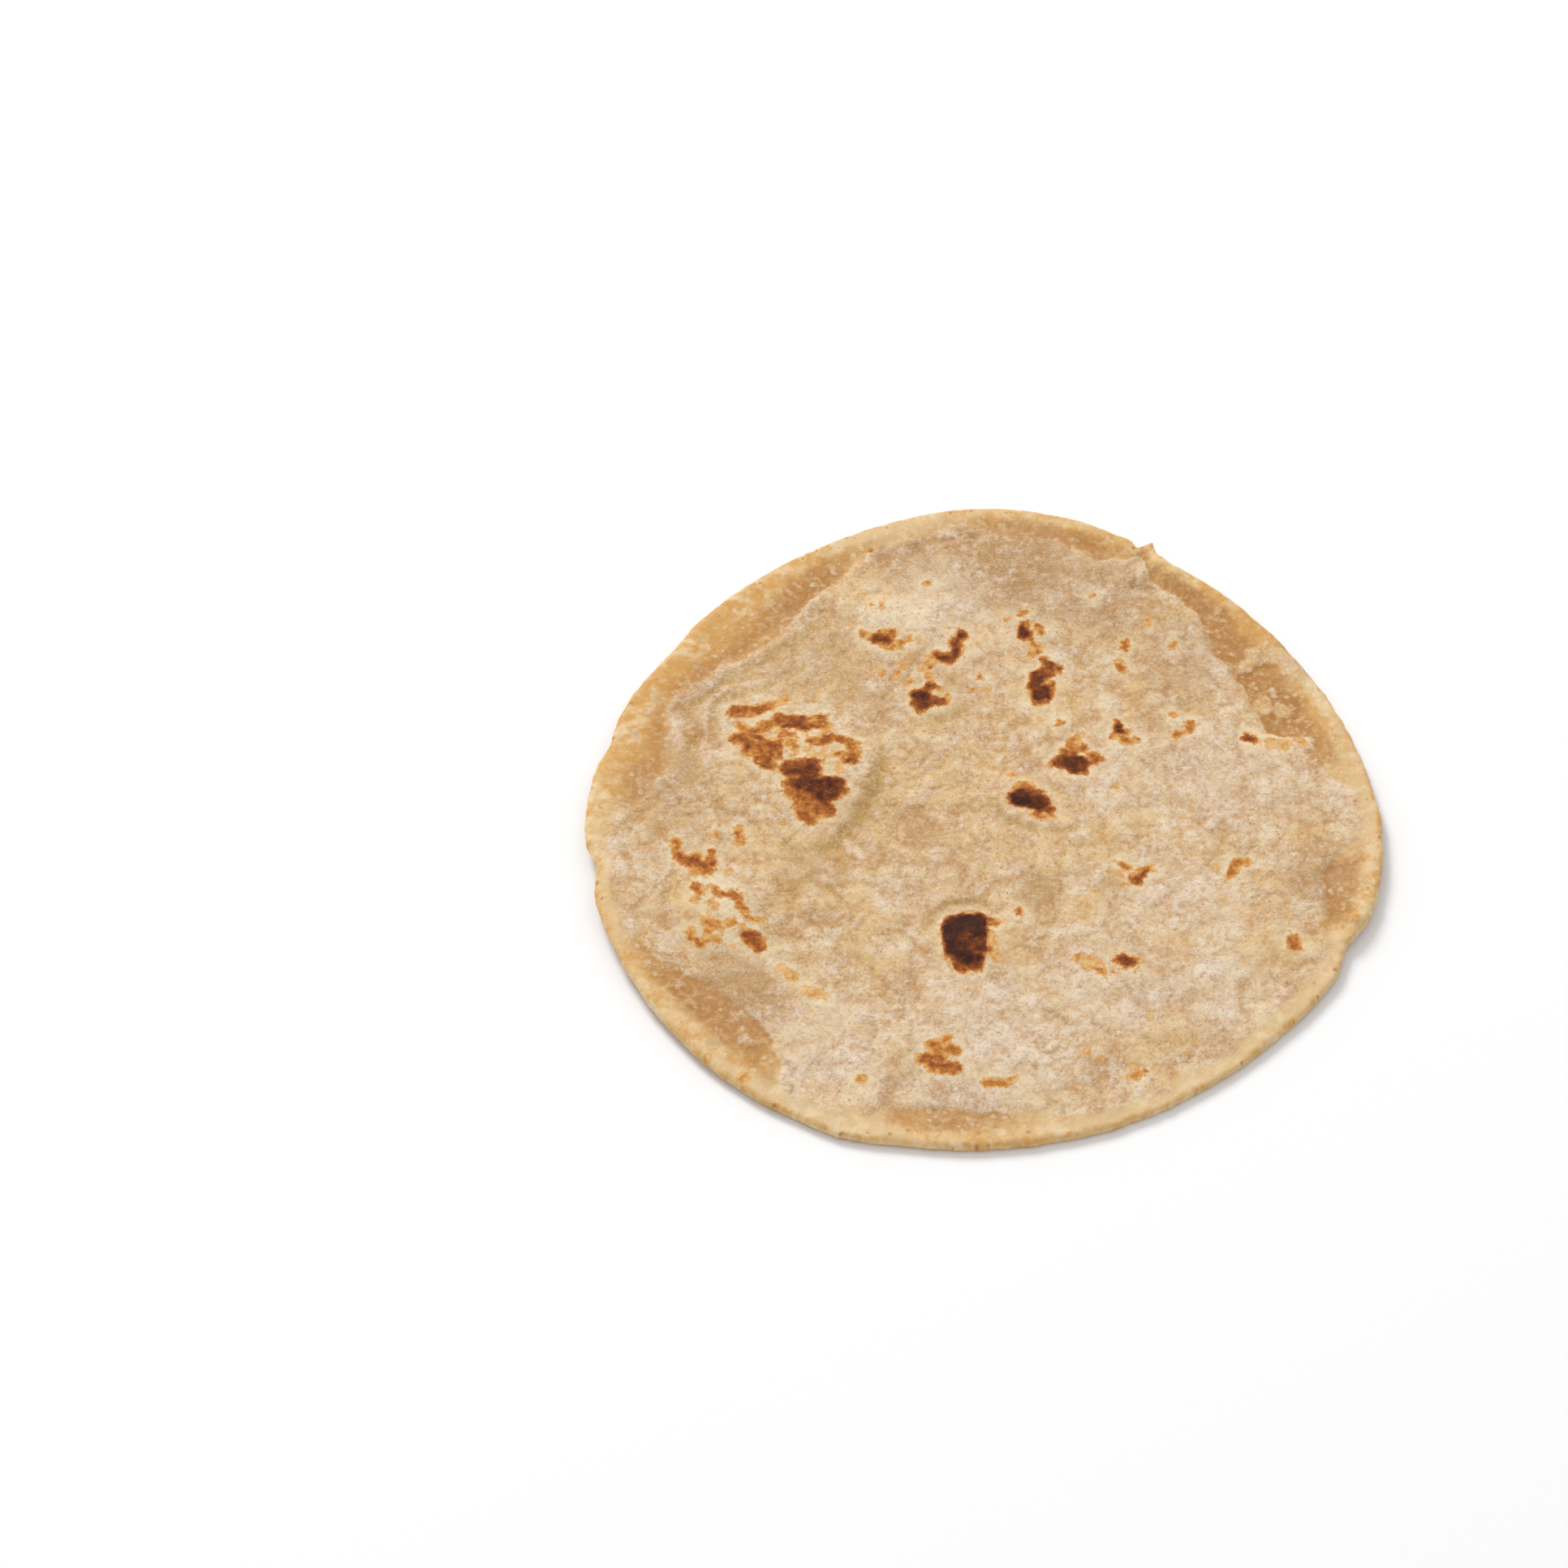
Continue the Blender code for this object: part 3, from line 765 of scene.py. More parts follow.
def skin_of_top(x, y, direction, from_edge):
    """Relief in mm and the masks that the material reads, over the upper face."""
    wander_x, wander_y = wander(x, y, 1.0), wander(x, y, 3.0)
    rough_x, rough_y = x + wander_x, y + wander_y
    gold, ragged, inside, face, deep = band_and_face(x, y, direction, from_edge)
    band = 1.0 - face
    dusty_lip = round_rim(direction, DUSTY_LIP) * (1.0 - smooth_step((from_edge - 2.0) / 3.0))
    amber = round_rim(direction, AMBER_LIP)

    spots = BIG_SCORCH + SPECKLED_SCORCH + DARK_BURN + ROUND_SPOTS + FRECKLES
    cover, heat = brush(rough_x, rough_y, spots, SPOT_SOFTNESS)
    strong = [(1.0, spot[1] + HALO_REACH, *spot[2:]) for spot in spots if spot[0] > TOASTED]
    strong += STEAMED
    halo, _ = brush(x + 2.0 * wander_x, y + 2.0 * wander_y, strong, HALO_SOFTNESS)

    # Creases and wrinkles, the clods of the crumb, and the folds that the pin left
    olive = grooves(x + 0.6 * wander_x, y + 0.6 * wander_y, CREASES[:OLIVE_CREASES])
    folds = grooves(x + 0.4 * wander_x, y + 0.4 * wander_y, CREASES)
    tear = grooves(x + 0.2 * wander_x, y + 0.2 * wander_y, (TEAR,))
    wrinkled = np.clip(noise_over(x, y, 24.0, 14.0) * 1.6 + 0.5, 0.0, 1.0) * face
    wrinkles = bell(noise_over(x, y, 11.0, 15.0, 2), 0.05) * wrinkled
    coarse, fine = clods(x, y, 5.2, 16.0), clods(rough_x, rough_y, 2.7, 17.0)
    floured = patches(x, y, FLOURED)
    crumbly = face * (1.0 - 0.3 * floured)
    rolled = round_rim(direction, ROLLED_FOLDS) * bell(inside - 6.0, 7.5)
    waves = rolled * np.cos((inside - 2.0 + ragged) * math.tau / FOLD_SPACING)

    form = FORM_WAVES * noise_over(x, y, 12.0, 8.0, 2) + FOLD_HEIGHT * waves
    form -= CREASE_GAIN * folds + WRINKLE_DEPTH * wrinkles
    form += BORDER_SWELL * gold * bell(inside - 1.5, 1.5)
    form += crumbly * (COARSE_CLODS * coarse + FINE_CLODS * fine)
    relief = form + GRIT * crumbly * noise_over(x, y, 1.5, 10.0, 2)
    relief += SKIN_STEP * (0.2 + 0.8 * gold) * face
    relief += BAND_LUMPS * band * (noise_over(x, y, 7.5, 11.0, 2) + 0.5 * noise_over(x, y, 3.1, 18.0))
    relief += BAND_PIMPLES * band * noise_over(x, y, 1.9, 19.0, 2)
    relief += BAND_GRAIN * band * noise_over(x, y, 2.6, 9.0, 2)
    for centre_x, centre_y, radius, rise in SWELLINGS:
        away = np.hypot(rough_x - centre_x, rough_y - centre_y) / radius
        relief += rise * smooth_step(1.6 * (1.0 - away))
    relief += SPOT_CRUST * smooth_step((cover - 0.4) / 0.4) * noise_over(x, y, 1.3, 13.0, 2)
    relief -= PALE_LIP_DROP * (1.0 - gold) * bell(from_edge, 5.0) + tear
    relief *= smooth_step((from_edge + 0.4) / 2.2)

    # Painted shade, partly brown dough: darker in the creases between the clods, in the wrinkles and along
    # the listed creases
    crease_shade = (1.0 - fine) ** 3 * 0.45 + (1.0 - coarse) ** 3 * 0.7 + 0.5 * wrinkles
    masks = {
        "toast_cover": cover,
        "toast_heat": heat,
        "halo": halo,
        "face": face,
        "golden": np.clip(deep + 0.8 * tear, 0.0, 1.0),
        "lip": bell(np.maximum(from_edge - 1.6, 0.0), 2.2),
        "plain": np.clip(1.0 - gold + dusty_lip - amber, 0.0, 1.0) * smooth_step(from_edge / 1.8),
        "amber": np.clip(amber, 0.0, 1.0),
        # flour: partly flour, partly painted light on the ridges of the pin's waves
        "flour": np.clip(floured + 0.6 * waves, 0.0, 1.0) * face,
        "bare": patches(x, y, BARE),
        "shade": patches(x, y, DARKER),
        # crest: height of the relief, which the crumb's colour follows as painted shade in hollows and
        # painted light on tops
        "crest": np.clip(0.5 + (form - CREST_LEVEL) / CREST_RISE, 0.0, 1.0),
        # olive: painted shade in the deep creases, the wrinkles and the troughs of the pin's waves
        "olive": np.clip(3.4 * olive + 0.45 * wrinkles - 0.5 * waves, 0.0, 1.0),
        "crease": np.clip(crease_shade * crumbly + 1.2 * folds, 0.0, 1.0),
    }
    return relief, masks


UNDERSIDE_SPOTS = 46
UNDERSIDE_SEED = 7
UNDERSIDE_SPOTS_REACH = 76.0  # how far from the middle they start


def underside_spots():
    """Strokes of toasting scattered over the underside, which lay on the griddle first."""
    draw = np.random.default_rng(UNDERSIDE_SEED)
    spots = []
    for _ in range(UNDERSIDE_SPOTS):
        radius = UNDERSIDE_SPOTS_REACH * math.sqrt(draw.uniform())
        turn = draw.uniform(0.0, math.tau)
        x, y = radius * math.cos(turn), radius * math.sin(turn)
        strength = draw.uniform(0.25, 0.8)
        half_width = draw.uniform(0.6, 2.4)
        for _ in range(int(draw.integers(1, 5))):
            step_x, step_y = draw.normal(0.0, 1.3 * half_width, 2)
            spots.append((strength, half_width, (x, y), (x + step_x, y + step_y)))
            x, y = x + step_x, y + step_y
    return spots


def skin_of_underside(x, y, direction, from_edge):
    """Relief and masks of the underside: flatter, with the same toasting."""
    wander_x = 0.7 * noise_over(x, y, 2.4, 21.0)
    wander_y = 0.7 * noise_over(x, y, 2.4, 22.0)
    width, _ = band_at(direction)
    ragged = 1.2 * noise_over(x, y, 4.0, 23.0, 2)
    face = smooth_step((from_edge - 0.6 * width + ragged) / 2.5 + 0.5)
    spots = underside_spots()
    cover, heat = brush(x + wander_x, y + wander_y, spots, SPOT_SOFTNESS)
    halo, _ = brush(x, y, [(1.0, spot[1] + HALO_REACH, *spot[2:]) for spot in spots], HALO_SOFTNESS)
    relief = 0.03 * (1.0 + noise_over(x, y, 3.0, 25.0, 2)) + 0.05 * (1.0 - face)
    soft = 0.5 + 0.5 * noise_over(x, y, 30.0, 26.0)
    masks = dict.fromkeys(MASKS, np.zeros_like(x)) | {
        "toast_cover": cover,
        "toast_heat": heat,
        "halo": halo,
        "face": face,
        "golden": 0.5 * (1.0 - face),
        "lip": bell(from_edge, 2.0),
        "flour": 0.8 * np.clip(soft, 0.0, 1.0) * face,
        "bare": 0.5 * np.clip(1.0 - soft, 0.0, 1.0),
        "crest": np.full_like(x, 0.5),
        # painted shade in the creases between clods
        "crease": 0.4 * (1.0 - clods(x, y, 4.0, 27.0)) ** 3 * face,
    }
    return relief, masks


# ---------------------------------------------------------------- laying the mesh

MEAN_RADIUS = 85.0
TORN_EDGE = ((63.6, 0.8, -1.0), (62.2, 0.5, 0.6))  # direction, half width in degrees, mm outwards
TORN_THINNING = ((62.2, 1.3, 1.2),)  # the same, and how much thinner the bread gets there in mm
TORN_REACH = 2.2  # how far in from the edge


def edge_wobble(direction):
    """Small unevenness of the edge left by the rolling pin, in mm, and the torn tip."""
    x = MEAN_RADIUS * np.cos(np.radians(direction))
    y = MEAN_RADIUS * np.sin(np.radians(direction))
    wobble = 0.25 * noise_over(x, y, 7.0, 31.0, 2) + 0.16 * noise_over(x, y, 2.6, 32.0, 2)
    return wobble + round_rim(direction, TORN_EDGE)


def grid_quads(side, flip):
    """Corner indices of the quads of a square grid of points."""
    index = np.arange(side * side).reshape(side, side)
    corners = [index[:-1, :-1], index[1:, :-1], index[1:, 1:], index[:-1, 1:]]
    if flip:
        corners.reverse()
    return np.stack(corners, axis=-1).reshape(-1, 4)


def rim_loop(ring, direction, rings):
    """Indices of the outermost ring's points, in order of direction."""
    outer = np.flatnonzero(ring == rings)
    return outer[np.argsort(direction[outer], kind="stable")]


class Bread:
    """Points, faces and masks of the bread, gathered before the mesh is made."""

    def __init__(self):
        self.points = []
        self.masks = []
        self.flat = []
        self.faces = []
        self.is_top = []
        self.count = 0

    def add_points(self, x, y, z, masks, flat_radius, direction):
        """Adds points and returns the index of the first one. The flat radius is their place in the map."""
        first = self.count
        self.points.append(np.column_stack((x, y, z)))
        self.masks.append(masks)
        turn = np.radians(direction)
        self.flat.append(np.column_stack((flat_radius * np.cos(turn), flat_radius * np.sin(turn))))
        self.count += len(x)
        return first

    def add_faces(self, corners, is_top):
        self.faces += corners.tolist()
        self.is_top += [is_top] * len(corners)


def lay_top(bread, form):
    """Adds the upper face, down to the outermost line of the rim, and returns that line's points."""
    ring, direction = disc_grid(TOP_RINGS)
    side = ring.shape[0]
    from_rim = (TOP_RINGS - ring).ravel()
    direction = direction.ravel()
    edge = form.edge(direction) + edge_wobble(direction)
    lip = SHOULDER_REACH * (1.0 - np.cos(np.minimum(from_rim / LIP_RINGS, 1.0) * math.pi / 2.0))
    share = np.clip((TOP_RINGS - from_rim) / (TOP_RINGS - LIP_RINGS), 0.0, 1.0)
    radius = np.where(from_rim < LIP_RINGS, edge - lip, (edge - SHOULDER_REACH) * share)
    from_edge = edge - radius
    turn = np.radians(direction)
    x, y = radius * np.cos(turn), radius * np.sin(turn)

    held_in = np.minimum(radius, form.edge(direction) - SHOULDER_REACH - CLEAR_OF_WALL)
    crown = form.heights(held_in * np.cos(turn), held_in * np.sin(turn), True)
    crown = evened(crown.reshape(side, side), TOP_EVENING).ravel()
    foot_in = np.minimum(radius, form.edge(direction) - FOOT_REACH)
    foot = form.heights(foot_in * np.cos(turn), foot_in * np.sin(turn), False)
    foot = evened(foot.reshape(side, side), TOP_EVENING).ravel()

    relief, masks = skin_of_top(x, y, direction, from_edge)
    crown += relief - round_rim(direction, TORN_THINNING) * bell(from_edge, TORN_REACH)
    level = foot + EDGE_LEVEL * (crown - foot)
    inward = np.clip(from_edge / SHOULDER_REACH, 0.0, 1.0)
    rounding = np.sqrt(1.0 - (1.0 - inward) ** 2)
    z = level + (crown - level) * rounding
    flat_radius = radius + (1.0 - rounding) * (crown - level)
    first = bread.add_points(x, y, z, masks, flat_radius, direction)
    bread.add_faces(first + grid_quads(side, flip=False), True)
    rim = first + rim_loop(ring.ravel(), direction, TOP_RINGS)
    return rim, foot[rim - first], z[rim - first]


def lay_foot(bread, form, rim, foot, level):
    """Adds the rings that round the rim from its outermost line to the underside."""
    direction = 360.0 * np.arange(len(rim)) / len(rim)
    edge = form.edge(direction) + edge_wobble(direction)
    above = rim
    for step in range(1, FOOT_RINGS + 1):
        angle = step / FOOT_RINGS * math.pi / 2.0
        from_edge = FOOT_REACH * (1.0 - math.cos(angle))
        radius = edge - from_edge
        turn = np.radians(direction)
        x, y = radius * np.cos(turn), radius * np.sin(turn)
        z = level - (level - foot) * math.sin(angle)
        _, masks = skin_of_underside(x, y, direction, np.full_like(x, from_edge))
        flat_radius = radius + (1.0 - math.sin(angle)) * (level - foot)
        first = bread.add_points(x, y, z, masks, flat_radius, direction)
        below = first + np.arange(len(rim))
        quads = np.column_stack((above, below, np.roll(below, -1), np.roll(above, -1)))
        bread.add_faces(quads, False)
        above = below
    return above


def lay_underside(bread, form, foot_line):
    """Adds the underside, on a coarser grid, and joins it to the last ring of the rim."""
    rings = TOP_RINGS // UNDERSIDE_SHARE
    ring, direction = disc_grid(rings)
    side = ring.shape[0]
    direction = direction.ravel()
    edge = form.edge(direction)
    radius = (edge - FOOT_REACH - FOOT_TO_UNDERSIDE) * ring.ravel() / rings
    turn = np.radians(direction)
    x, y = radius * np.cos(turn), radius * np.sin(turn)
    foot = evened(form.heights(x, y, False).reshape(side, side), UNDERSIDE_EVENING).ravel()
    relief, masks = skin_of_underside(x, y, direction, edge - radius)
    first = bread.add_points(x, y, foot + relief, masks, radius, direction)
    bread.add_faces(first + grid_quads(side, flip=True), False)
    inner = first + rim_loop(ring.ravel(), direction, rings)
    outer = foot_line.reshape(-1, UNDERSIDE_SHARE)
    next_outer = np.roll(outer[:, 0], -1)
    joined = np.column_stack((outer, next_outer, np.roll(inner, -1), inner))
    bread.add_faces(joined[:, ::-1], False)


def make_bread(solid):
    form = Form(solid)
    bread = Bread()
    rim, foot, level = lay_top(bread, form)
    foot_line = lay_foot(bread, form, rim, foot, level)
    lay_underside(bread, form, foot_line)
    points = np.vstack(bread.points)
    points[:, 2] = np.maximum(points[:, 2], 0.0)  # nothing sinks into the table
    mesh = bpy.data.meshes.new("baked_chapati")
    mesh.from_pydata((points * MM).tolist(), [], bread.faces)
    mesh.shade_smooth()
    for name in MASKS:
        layer = mesh.attributes.new(name, "FLOAT", "POINT")
        layer.data.foreach_set("value", np.concatenate([masks[name] for masks in bread.masks]))
    lay_out(mesh, np.vstack(bread.flat), bread.is_top)
    mesh.validate()
    chapati = bpy.data.objects.new("baked_chapati", mesh)
    bpy.context.collection.objects.link(chapati)
    return chapati


# The flat map of the surface: middle and radius of the upper face and the underside, in its unit square
TOP_PLACE = (0.375, 0.37)
UNDERSIDE_PLACE = (0.785, 0.2)
FLAT_REACH = 93.0  # mm from the middle that each circle of the map holds


def lay_out(mesh, flat, is_top):
    """Gives the mesh a flat map with the upper face in one corner and the underside in the other."""
    corner_points = np.empty(len(mesh.loops), dtype=int)
    mesh.loops.foreach_get("vertex_index", corner_points)
    counts = np.empty(len(mesh.polygons), dtype=int)
    mesh.polygons.foreach_get("loop_total", counts)
    top_corner = np.repeat(np.array(is_top), counts)[:, None]
    places = np.where(top_corner, TOP_PLACE, UNDERSIDE_PLACE)
    mapped = places[:, :1] + flat[corner_points] / FLAT_REACH * places[:, 1:]
    layer = mesh.uv_layers.new(name="OFBake")
    layer.data.foreach_set("uv", mapped.ravel())


# ---------------------------------------------------------------- materials


def linear(colour, alpha=1.0):
    """An sRGB hex colour as the linear values that a shader takes."""
    shares = [int(colour[place : place + 2], 16) / 255.0 for place in (1, 3, 5)]
    values = [
        share / 12.92 if share <= 0.04045 else ((share + 0.055) / 1.055) ** 2.4 for share in shares
    ]
    return (*values, alpha)


def add(tree, kind, inputs, stops=(), **settings):
    """Adds a shader node with its settings, and fills its sockets with values, hex colours or links."""
    made = tree.nodes.new("ShaderNode" + kind)
    for name, value in settings.items():
        setattr(made, name, value)
    if stops:
        ramp = made.color_ramp.elements
        while len(ramp) < len(stops):
            ramp.new(1.0)
        for element, (place, colour) in zip(ramp, stops):
            element.position = place
            element.color = linear(colour)
    for socket, value in inputs.items():
        if isinstance(value, bpy.types.NodeSocket):
            tree.links.new(value, made.inputs[socket])
        else:
            made.inputs[socket].default_value = linear(value) if isinstance(value, str) else value
    return made


FACTOR, FIRST, SECOND, MIXED = 0, 6, 7, 2  # sockets of a Mix node that mixes colours
SMOOTH = {"interpolation_type": "SMOOTHSTEP"}

# Noise of the dough: size of a lump in mm, detail, roughness, distortion
NOISES = {
    "rolls": (9.0, 4.0, 0.65, 0.3),
    "clearings": (10.0, 4.0, 0.6, 0.3),
    "blushes": (6.0, 4.0, 0.65, 0.4),
    "smudges": (5.0, 4.0, 0.7, 0.4),
    "drifts": (13.0, 2.0, 0.5, 0.0),
    "clusters": (3.2, 5.0, 0.7, 0.25),
    "flecks": (1.4, 4.0, 0.68, 0.15),
    "grains": (0.55, 2.0, 0.6, 0.0),
    "winding_lines": (5.0, 2.0, 0.5, 0.6),
    "line_gaps": (3.5, 1.0, 0.5, 0.0),
    "fissures": (1.0, 3.0, 0.7, 0.0),
    "steam": (2.5, 4.0, 0.75, 0.5),
    "bran_fields": (7.0, 2.0, 0.5, 0.0),
    "dab_fields": (17.0, 1.0, 0.5, 0.0),
    "marbling": (5.0, 5.0, 0.75, 0.2),
    "gilding": (4.0, 5.0, 0.75, 0.2),
    "curds": (2.0, 0.5, 0.5, 0.0),
    "curd_fields": (8.0, 1.0, 0.5, 0.0),
    "dust": (2.6, 3.0, 0.5, 0.0),
    "dust_fields": (9.0, 2.0, 0.5, 0.0),
    "blister_fields": (6.0, 1.0, 0.5, 0.0),
    "frayed_skin": (1.4, 4.0, 0.75, 0.0),
    "ragged_toast": (2.4, 3.0, 0.6, 0.4),
    "crumbled_toast": (0.9, 2.0, 0.5, 0.0),
    "mottled_toast": (1.9, 4.0, 0.65, 0.15),
    "pebbles": (1.8, 3.0, 0.6, 0.4),
}

# Dots of the dough: spacing, smallest and largest radius in mm, and the share of places that hold one
DOTS = {
    "bran": (1.7, 0.08, 0.26, 0.5),
    "dabs": (4.6, 0.2, 0.7, 0.5),
    "bubbles": (2.2, 0.1, 0.7, 0.6),
    "specks": (3.4, 0.2, 0.5, 0.4),
    "singes": (1.5, 0.1, 0.32, 0.45),
}
DOT_EDGE = (-0.2, 0.25)  # how far outside and inside its radius a dot starts and is full, in mm
BEND_SIZE, BEND = 1.6, 0.9  # size and depth in mm of the waves that keep dots from being quite round

# What is worked out of the masks, the noise and the dots, in order: the terms of a sum, each a product of
# names and numbers. A smooth rise of that sum can follow: the levels where it starts and ends, and its
# values there, which are 0 and 1 if none are given.
PATTERNS = {
    # the rolled face
    "hills": ([("rolls",)], 0.3, 0.66),
    # height: random tone plus the crest, giving painted shade in the hollows and painted light on the tops
    "height": ([("hills",), ("crest", 0.6), (-0.3,)],),
    "clear": ([("clearings",), ("bare", 0.06)], 0.47, 0.6),
    "dusty": ([("clear", -0.55), (1.0,)],),
    "rosy": ([("blushes",)], 0.52, 0.64),
    "smudged": ([("smudges",)], 0.3, 0.62, 0.4, 0.9),
    "grainy": ([("drifts",)], 0.4, 0.6, 0.25, 0.8),
    "clustered": ([("clusters",)], 0.5, 0.57),
    "sprinkled": ([("flour", 0.22), ("grainy", 0.42)],),
    "flakes": ([("flecks",)], 0.52, 0.6),
    # pits of the flecks, for painted shade
    "pore_shade": ([("flecks",)], 0.46, 0.38),
    "floury_grains": ([("grains",)], 0.52, 0.66),
    # pits of the grains, for painted shade
    "dark_grains": ([("grains",)], 0.46, 0.34),
    "near_bank": ([("winding_lines",)], 0.415, 0.5),
    "far_bank": ([("winding_lines",)], 0.585, 0.5),
    "line_pieces": ([("line_gaps",)], 0.52, 0.62),
    "furrow": ([("near_bank", "far_bank", "line_pieces")],),
    "fissured": ([("fissures",)], 0.38, 0.58),
    "steamed": ([("steam",)], 0.34, 0.52),
    "branny": ([("bran_fields",)], 0.45, 0.58, 0.1, 0.7),
    "dabbed": ([("dab_fields",)], 0.5, 0.6),
    # the smooth band
    "gilded": ([("marbling",), ("amber", 0.22)], 0.38, 0.62),
    "all_plain": ([("plain",)], 0.3, 0.8),
    "deep": ([("golden",), ("gilding", 1.4), (-0.7,)], 0.1, 1.0),
    "pale_flecks": ([("flecks",)], 0.5, 0.62),
    "curdled": ([("curds",)], 0.58, 0.7),
    "curd_patches": ([("curd_fields",)], 0.42, 0.6),
    "dusted": ([("dust",)], 0.42, 0.64),
    "dust_patches": ([("dust_fields",)], 0.42, 0.58, 0.2, 1.0),
    "dust_left": ([("golden",)], 0.0, 0.7, 0.65, 0.1),
    "crowded": ([("blister_fields",)], 0.42, 0.58, 0.15, 1.0),
    "blistered": ([("golden",)], 0.05, 0.5, 0.4, 1.0),
    "blister": ([("bubbles", "crowded", "blistered")],),
    "on_face": ([("face",), ("frayed_skin", 1.1), (-0.55,)], 0.2, 0.8),
    # the toasting
    "fierce": ([("toast_heat",)], 0.5, 0.9, 1.0, 0.5),
    "faint_fringe": ([("toast_heat",)], 0.1, 0.4, -0.1, 0.04),
    "ragged": ([("ragged_toast", 1.5), ("crumbled_toast",), (-1.25,)],),
    "cover": ([("toast_cover",), ("ragged", "fierce"), ("faint_fringe",)],),
    "crusted": ([("cover",)], 0.4, 1.15, 0.5, 1.06),
    "heat": ([("toast_heat", "crusted"), ("mottled_toast", "fierce", 1.3), ("fierce", -0.65)],),
    "straw": ([("cover",)], 0.12, 0.42),
    "browned": ([("cover",)], 0.34, 0.56),
    # relief that is finer than the mesh
    "uneven": (
        [("clustered", 0.22), ("pebbles", 0.8), ("flecks", 0.5), ("grains", 0.2), ("furrow", -0.25)],
    ),
    "bumpy": ([("face",)], 0.0, 1.0, 0.55, 1.0),
    "fine_relief": ([("uneven", "bumpy", "dusty"), ("blister", 0.45)],),
}

# Layers of the rolled face, from the dough up: colour, and what its strength is the product of
FACE_LAYERS = (
    (OILY_CRUMB, "clear", 0.65),
    (ROSY_CRUMB, "rosy", 0.4),
    (SHADED_CRUMB, "shade", "smudged"),
    (FLOUR, "flour", 0.4),
    (FLOUR, "clustered", "sprinkled", "dusty"),
    # painted olive shade in creases, wrinkles and wave troughs
    (OLIVE_DOUGH_SHADE, "olive", 0.8),
    (FLOUR, "flakes", "grainy", "dusty", 0.55),
    # Painted shade where the fine bump sinks: pores, dark grains and furrows
    (PORE_SHADE_TAN, "pore_shade", "dusty", 0.42),
    (FLOUR, "floury_grains", 0.3),
    (PORE_SHADE_TAN, "dark_grains", 0.35),
    (PORE_SHADE_TAN, "furrow", 0.3),
    # painted shade, darker brown in the creases
    (CREASE_SHADE_BROWN, "crease", "fissured", 0.55),
    (HALO_CREAM, "halo", "steamed", 0.7),
    (BRAN_BROWN, "bran", "branny"),
    (AMBER_DAB, "dabs", "dabbed", 0.5),
)
# Layers of the smooth band, which is pale on its crest and golden on its inner side
BAND_LAYERS = (
    (LIP_GOLD, "gilded"),
    (LIP_PLAIN, "all_plain"),
    (VALLEY_GOLD, "deep"),
    (VALLEY_ROSE, "shade", "golden", 0.45),
    (LIP_PALE, "pale_flecks", 0.35),
    (BLISTER_CREAM, "curdled", "curd_patches", 0.35),
    (BLISTER_CREAM, "dusted", "dust_patches", "dust_left"),
    (BLISTER_CREAM, "blister", 0.45),
    (SCORCHED_SPECK, "specks", "lip", 0.65),
)
# Straw around the toasted spots
FRINGE_LAYERS = (
    (FRINGE_STRAW, "singes", "halo", 0.8),
    (FRINGE_STRAW, "straw", 0.7),
)


def combined(tree, operation, values):
    """The values added or multiplied together."""
    found = values[0]
    for value in values[1:]:
        found = add(tree, "Math", {0: found, 1: value}, operation=operation).outputs[0]
    return found


def levels(value, low, high, bottom=0.0, top=1.0):
    """Where a rise of the value starts and ends, and what it gives there, as the inputs of its node."""
    return {"Value": value, "From Min": low, "From Max": high, "To Min": bottom, "To Max": top}


def worked_out(tree, here, terms, *rise):
    """The sum of the terms, each a product of parts, and then its rise if it has one.

    A part is the name of something that is here already, or a number or a socket.
    """
    products = [combined(tree, "MULTIPLY", [here.get(part, part) for part in term]) for term in terms]
    total = combined(tree, "ADD", products)
    if not rise:
        return total
    return add(tree, "MapRange", levels(total, *rise), **SMOOTH).outputs["Result"]


def laid(tree, here, base, layers):
    """The base with the layers over it, each as strong as the product that it names."""
    for colour, *strength in layers:
        inputs = {FACTOR: worked_out(tree, here, [strength]), FIRST: base, SECOND: colour}
        base = add(tree, "Mix", inputs, data_type="RGBA").outputs[MIXED]
    return base


def dots(tree, net, spacing, smallest, largest, share):
    """Soft dots, one at most in each cell of the net."""
    cells = add(
        tree, "TexVoronoi", {"Vector": net, "Scale": 1.0 / (spacing * MM)}, voronoi_dimensions="2D"
    )
    draw = add(tree, "SeparateColor", {"Color": cells.outputs["Color"]})
    sizes = {"Value": draw.outputs["Red"], "To Min": smallest / spacing, "To Max": largest / spacing}
    radius = add(tree, "MapRange", sizes).outputs["Result"]
    inside = add(tree, "Math", {0: radius, 1: cells.outputs["Distance"]}, operation="SUBTRACT").outputs[0]
    edge = levels(inside, DOT_EDGE[0] / spacing, DOT_EDGE[1] / spacing)
    dot = add(tree, "MapRange", edge, **SMOOTH).outputs["Result"]
    held = add(tree, "MapRange", levels(draw.outputs["Green"], share, share - 0.02), **SMOOTH)
    return combined(tree, "MULTIPLY", [dot, held.outputs["Result"]])


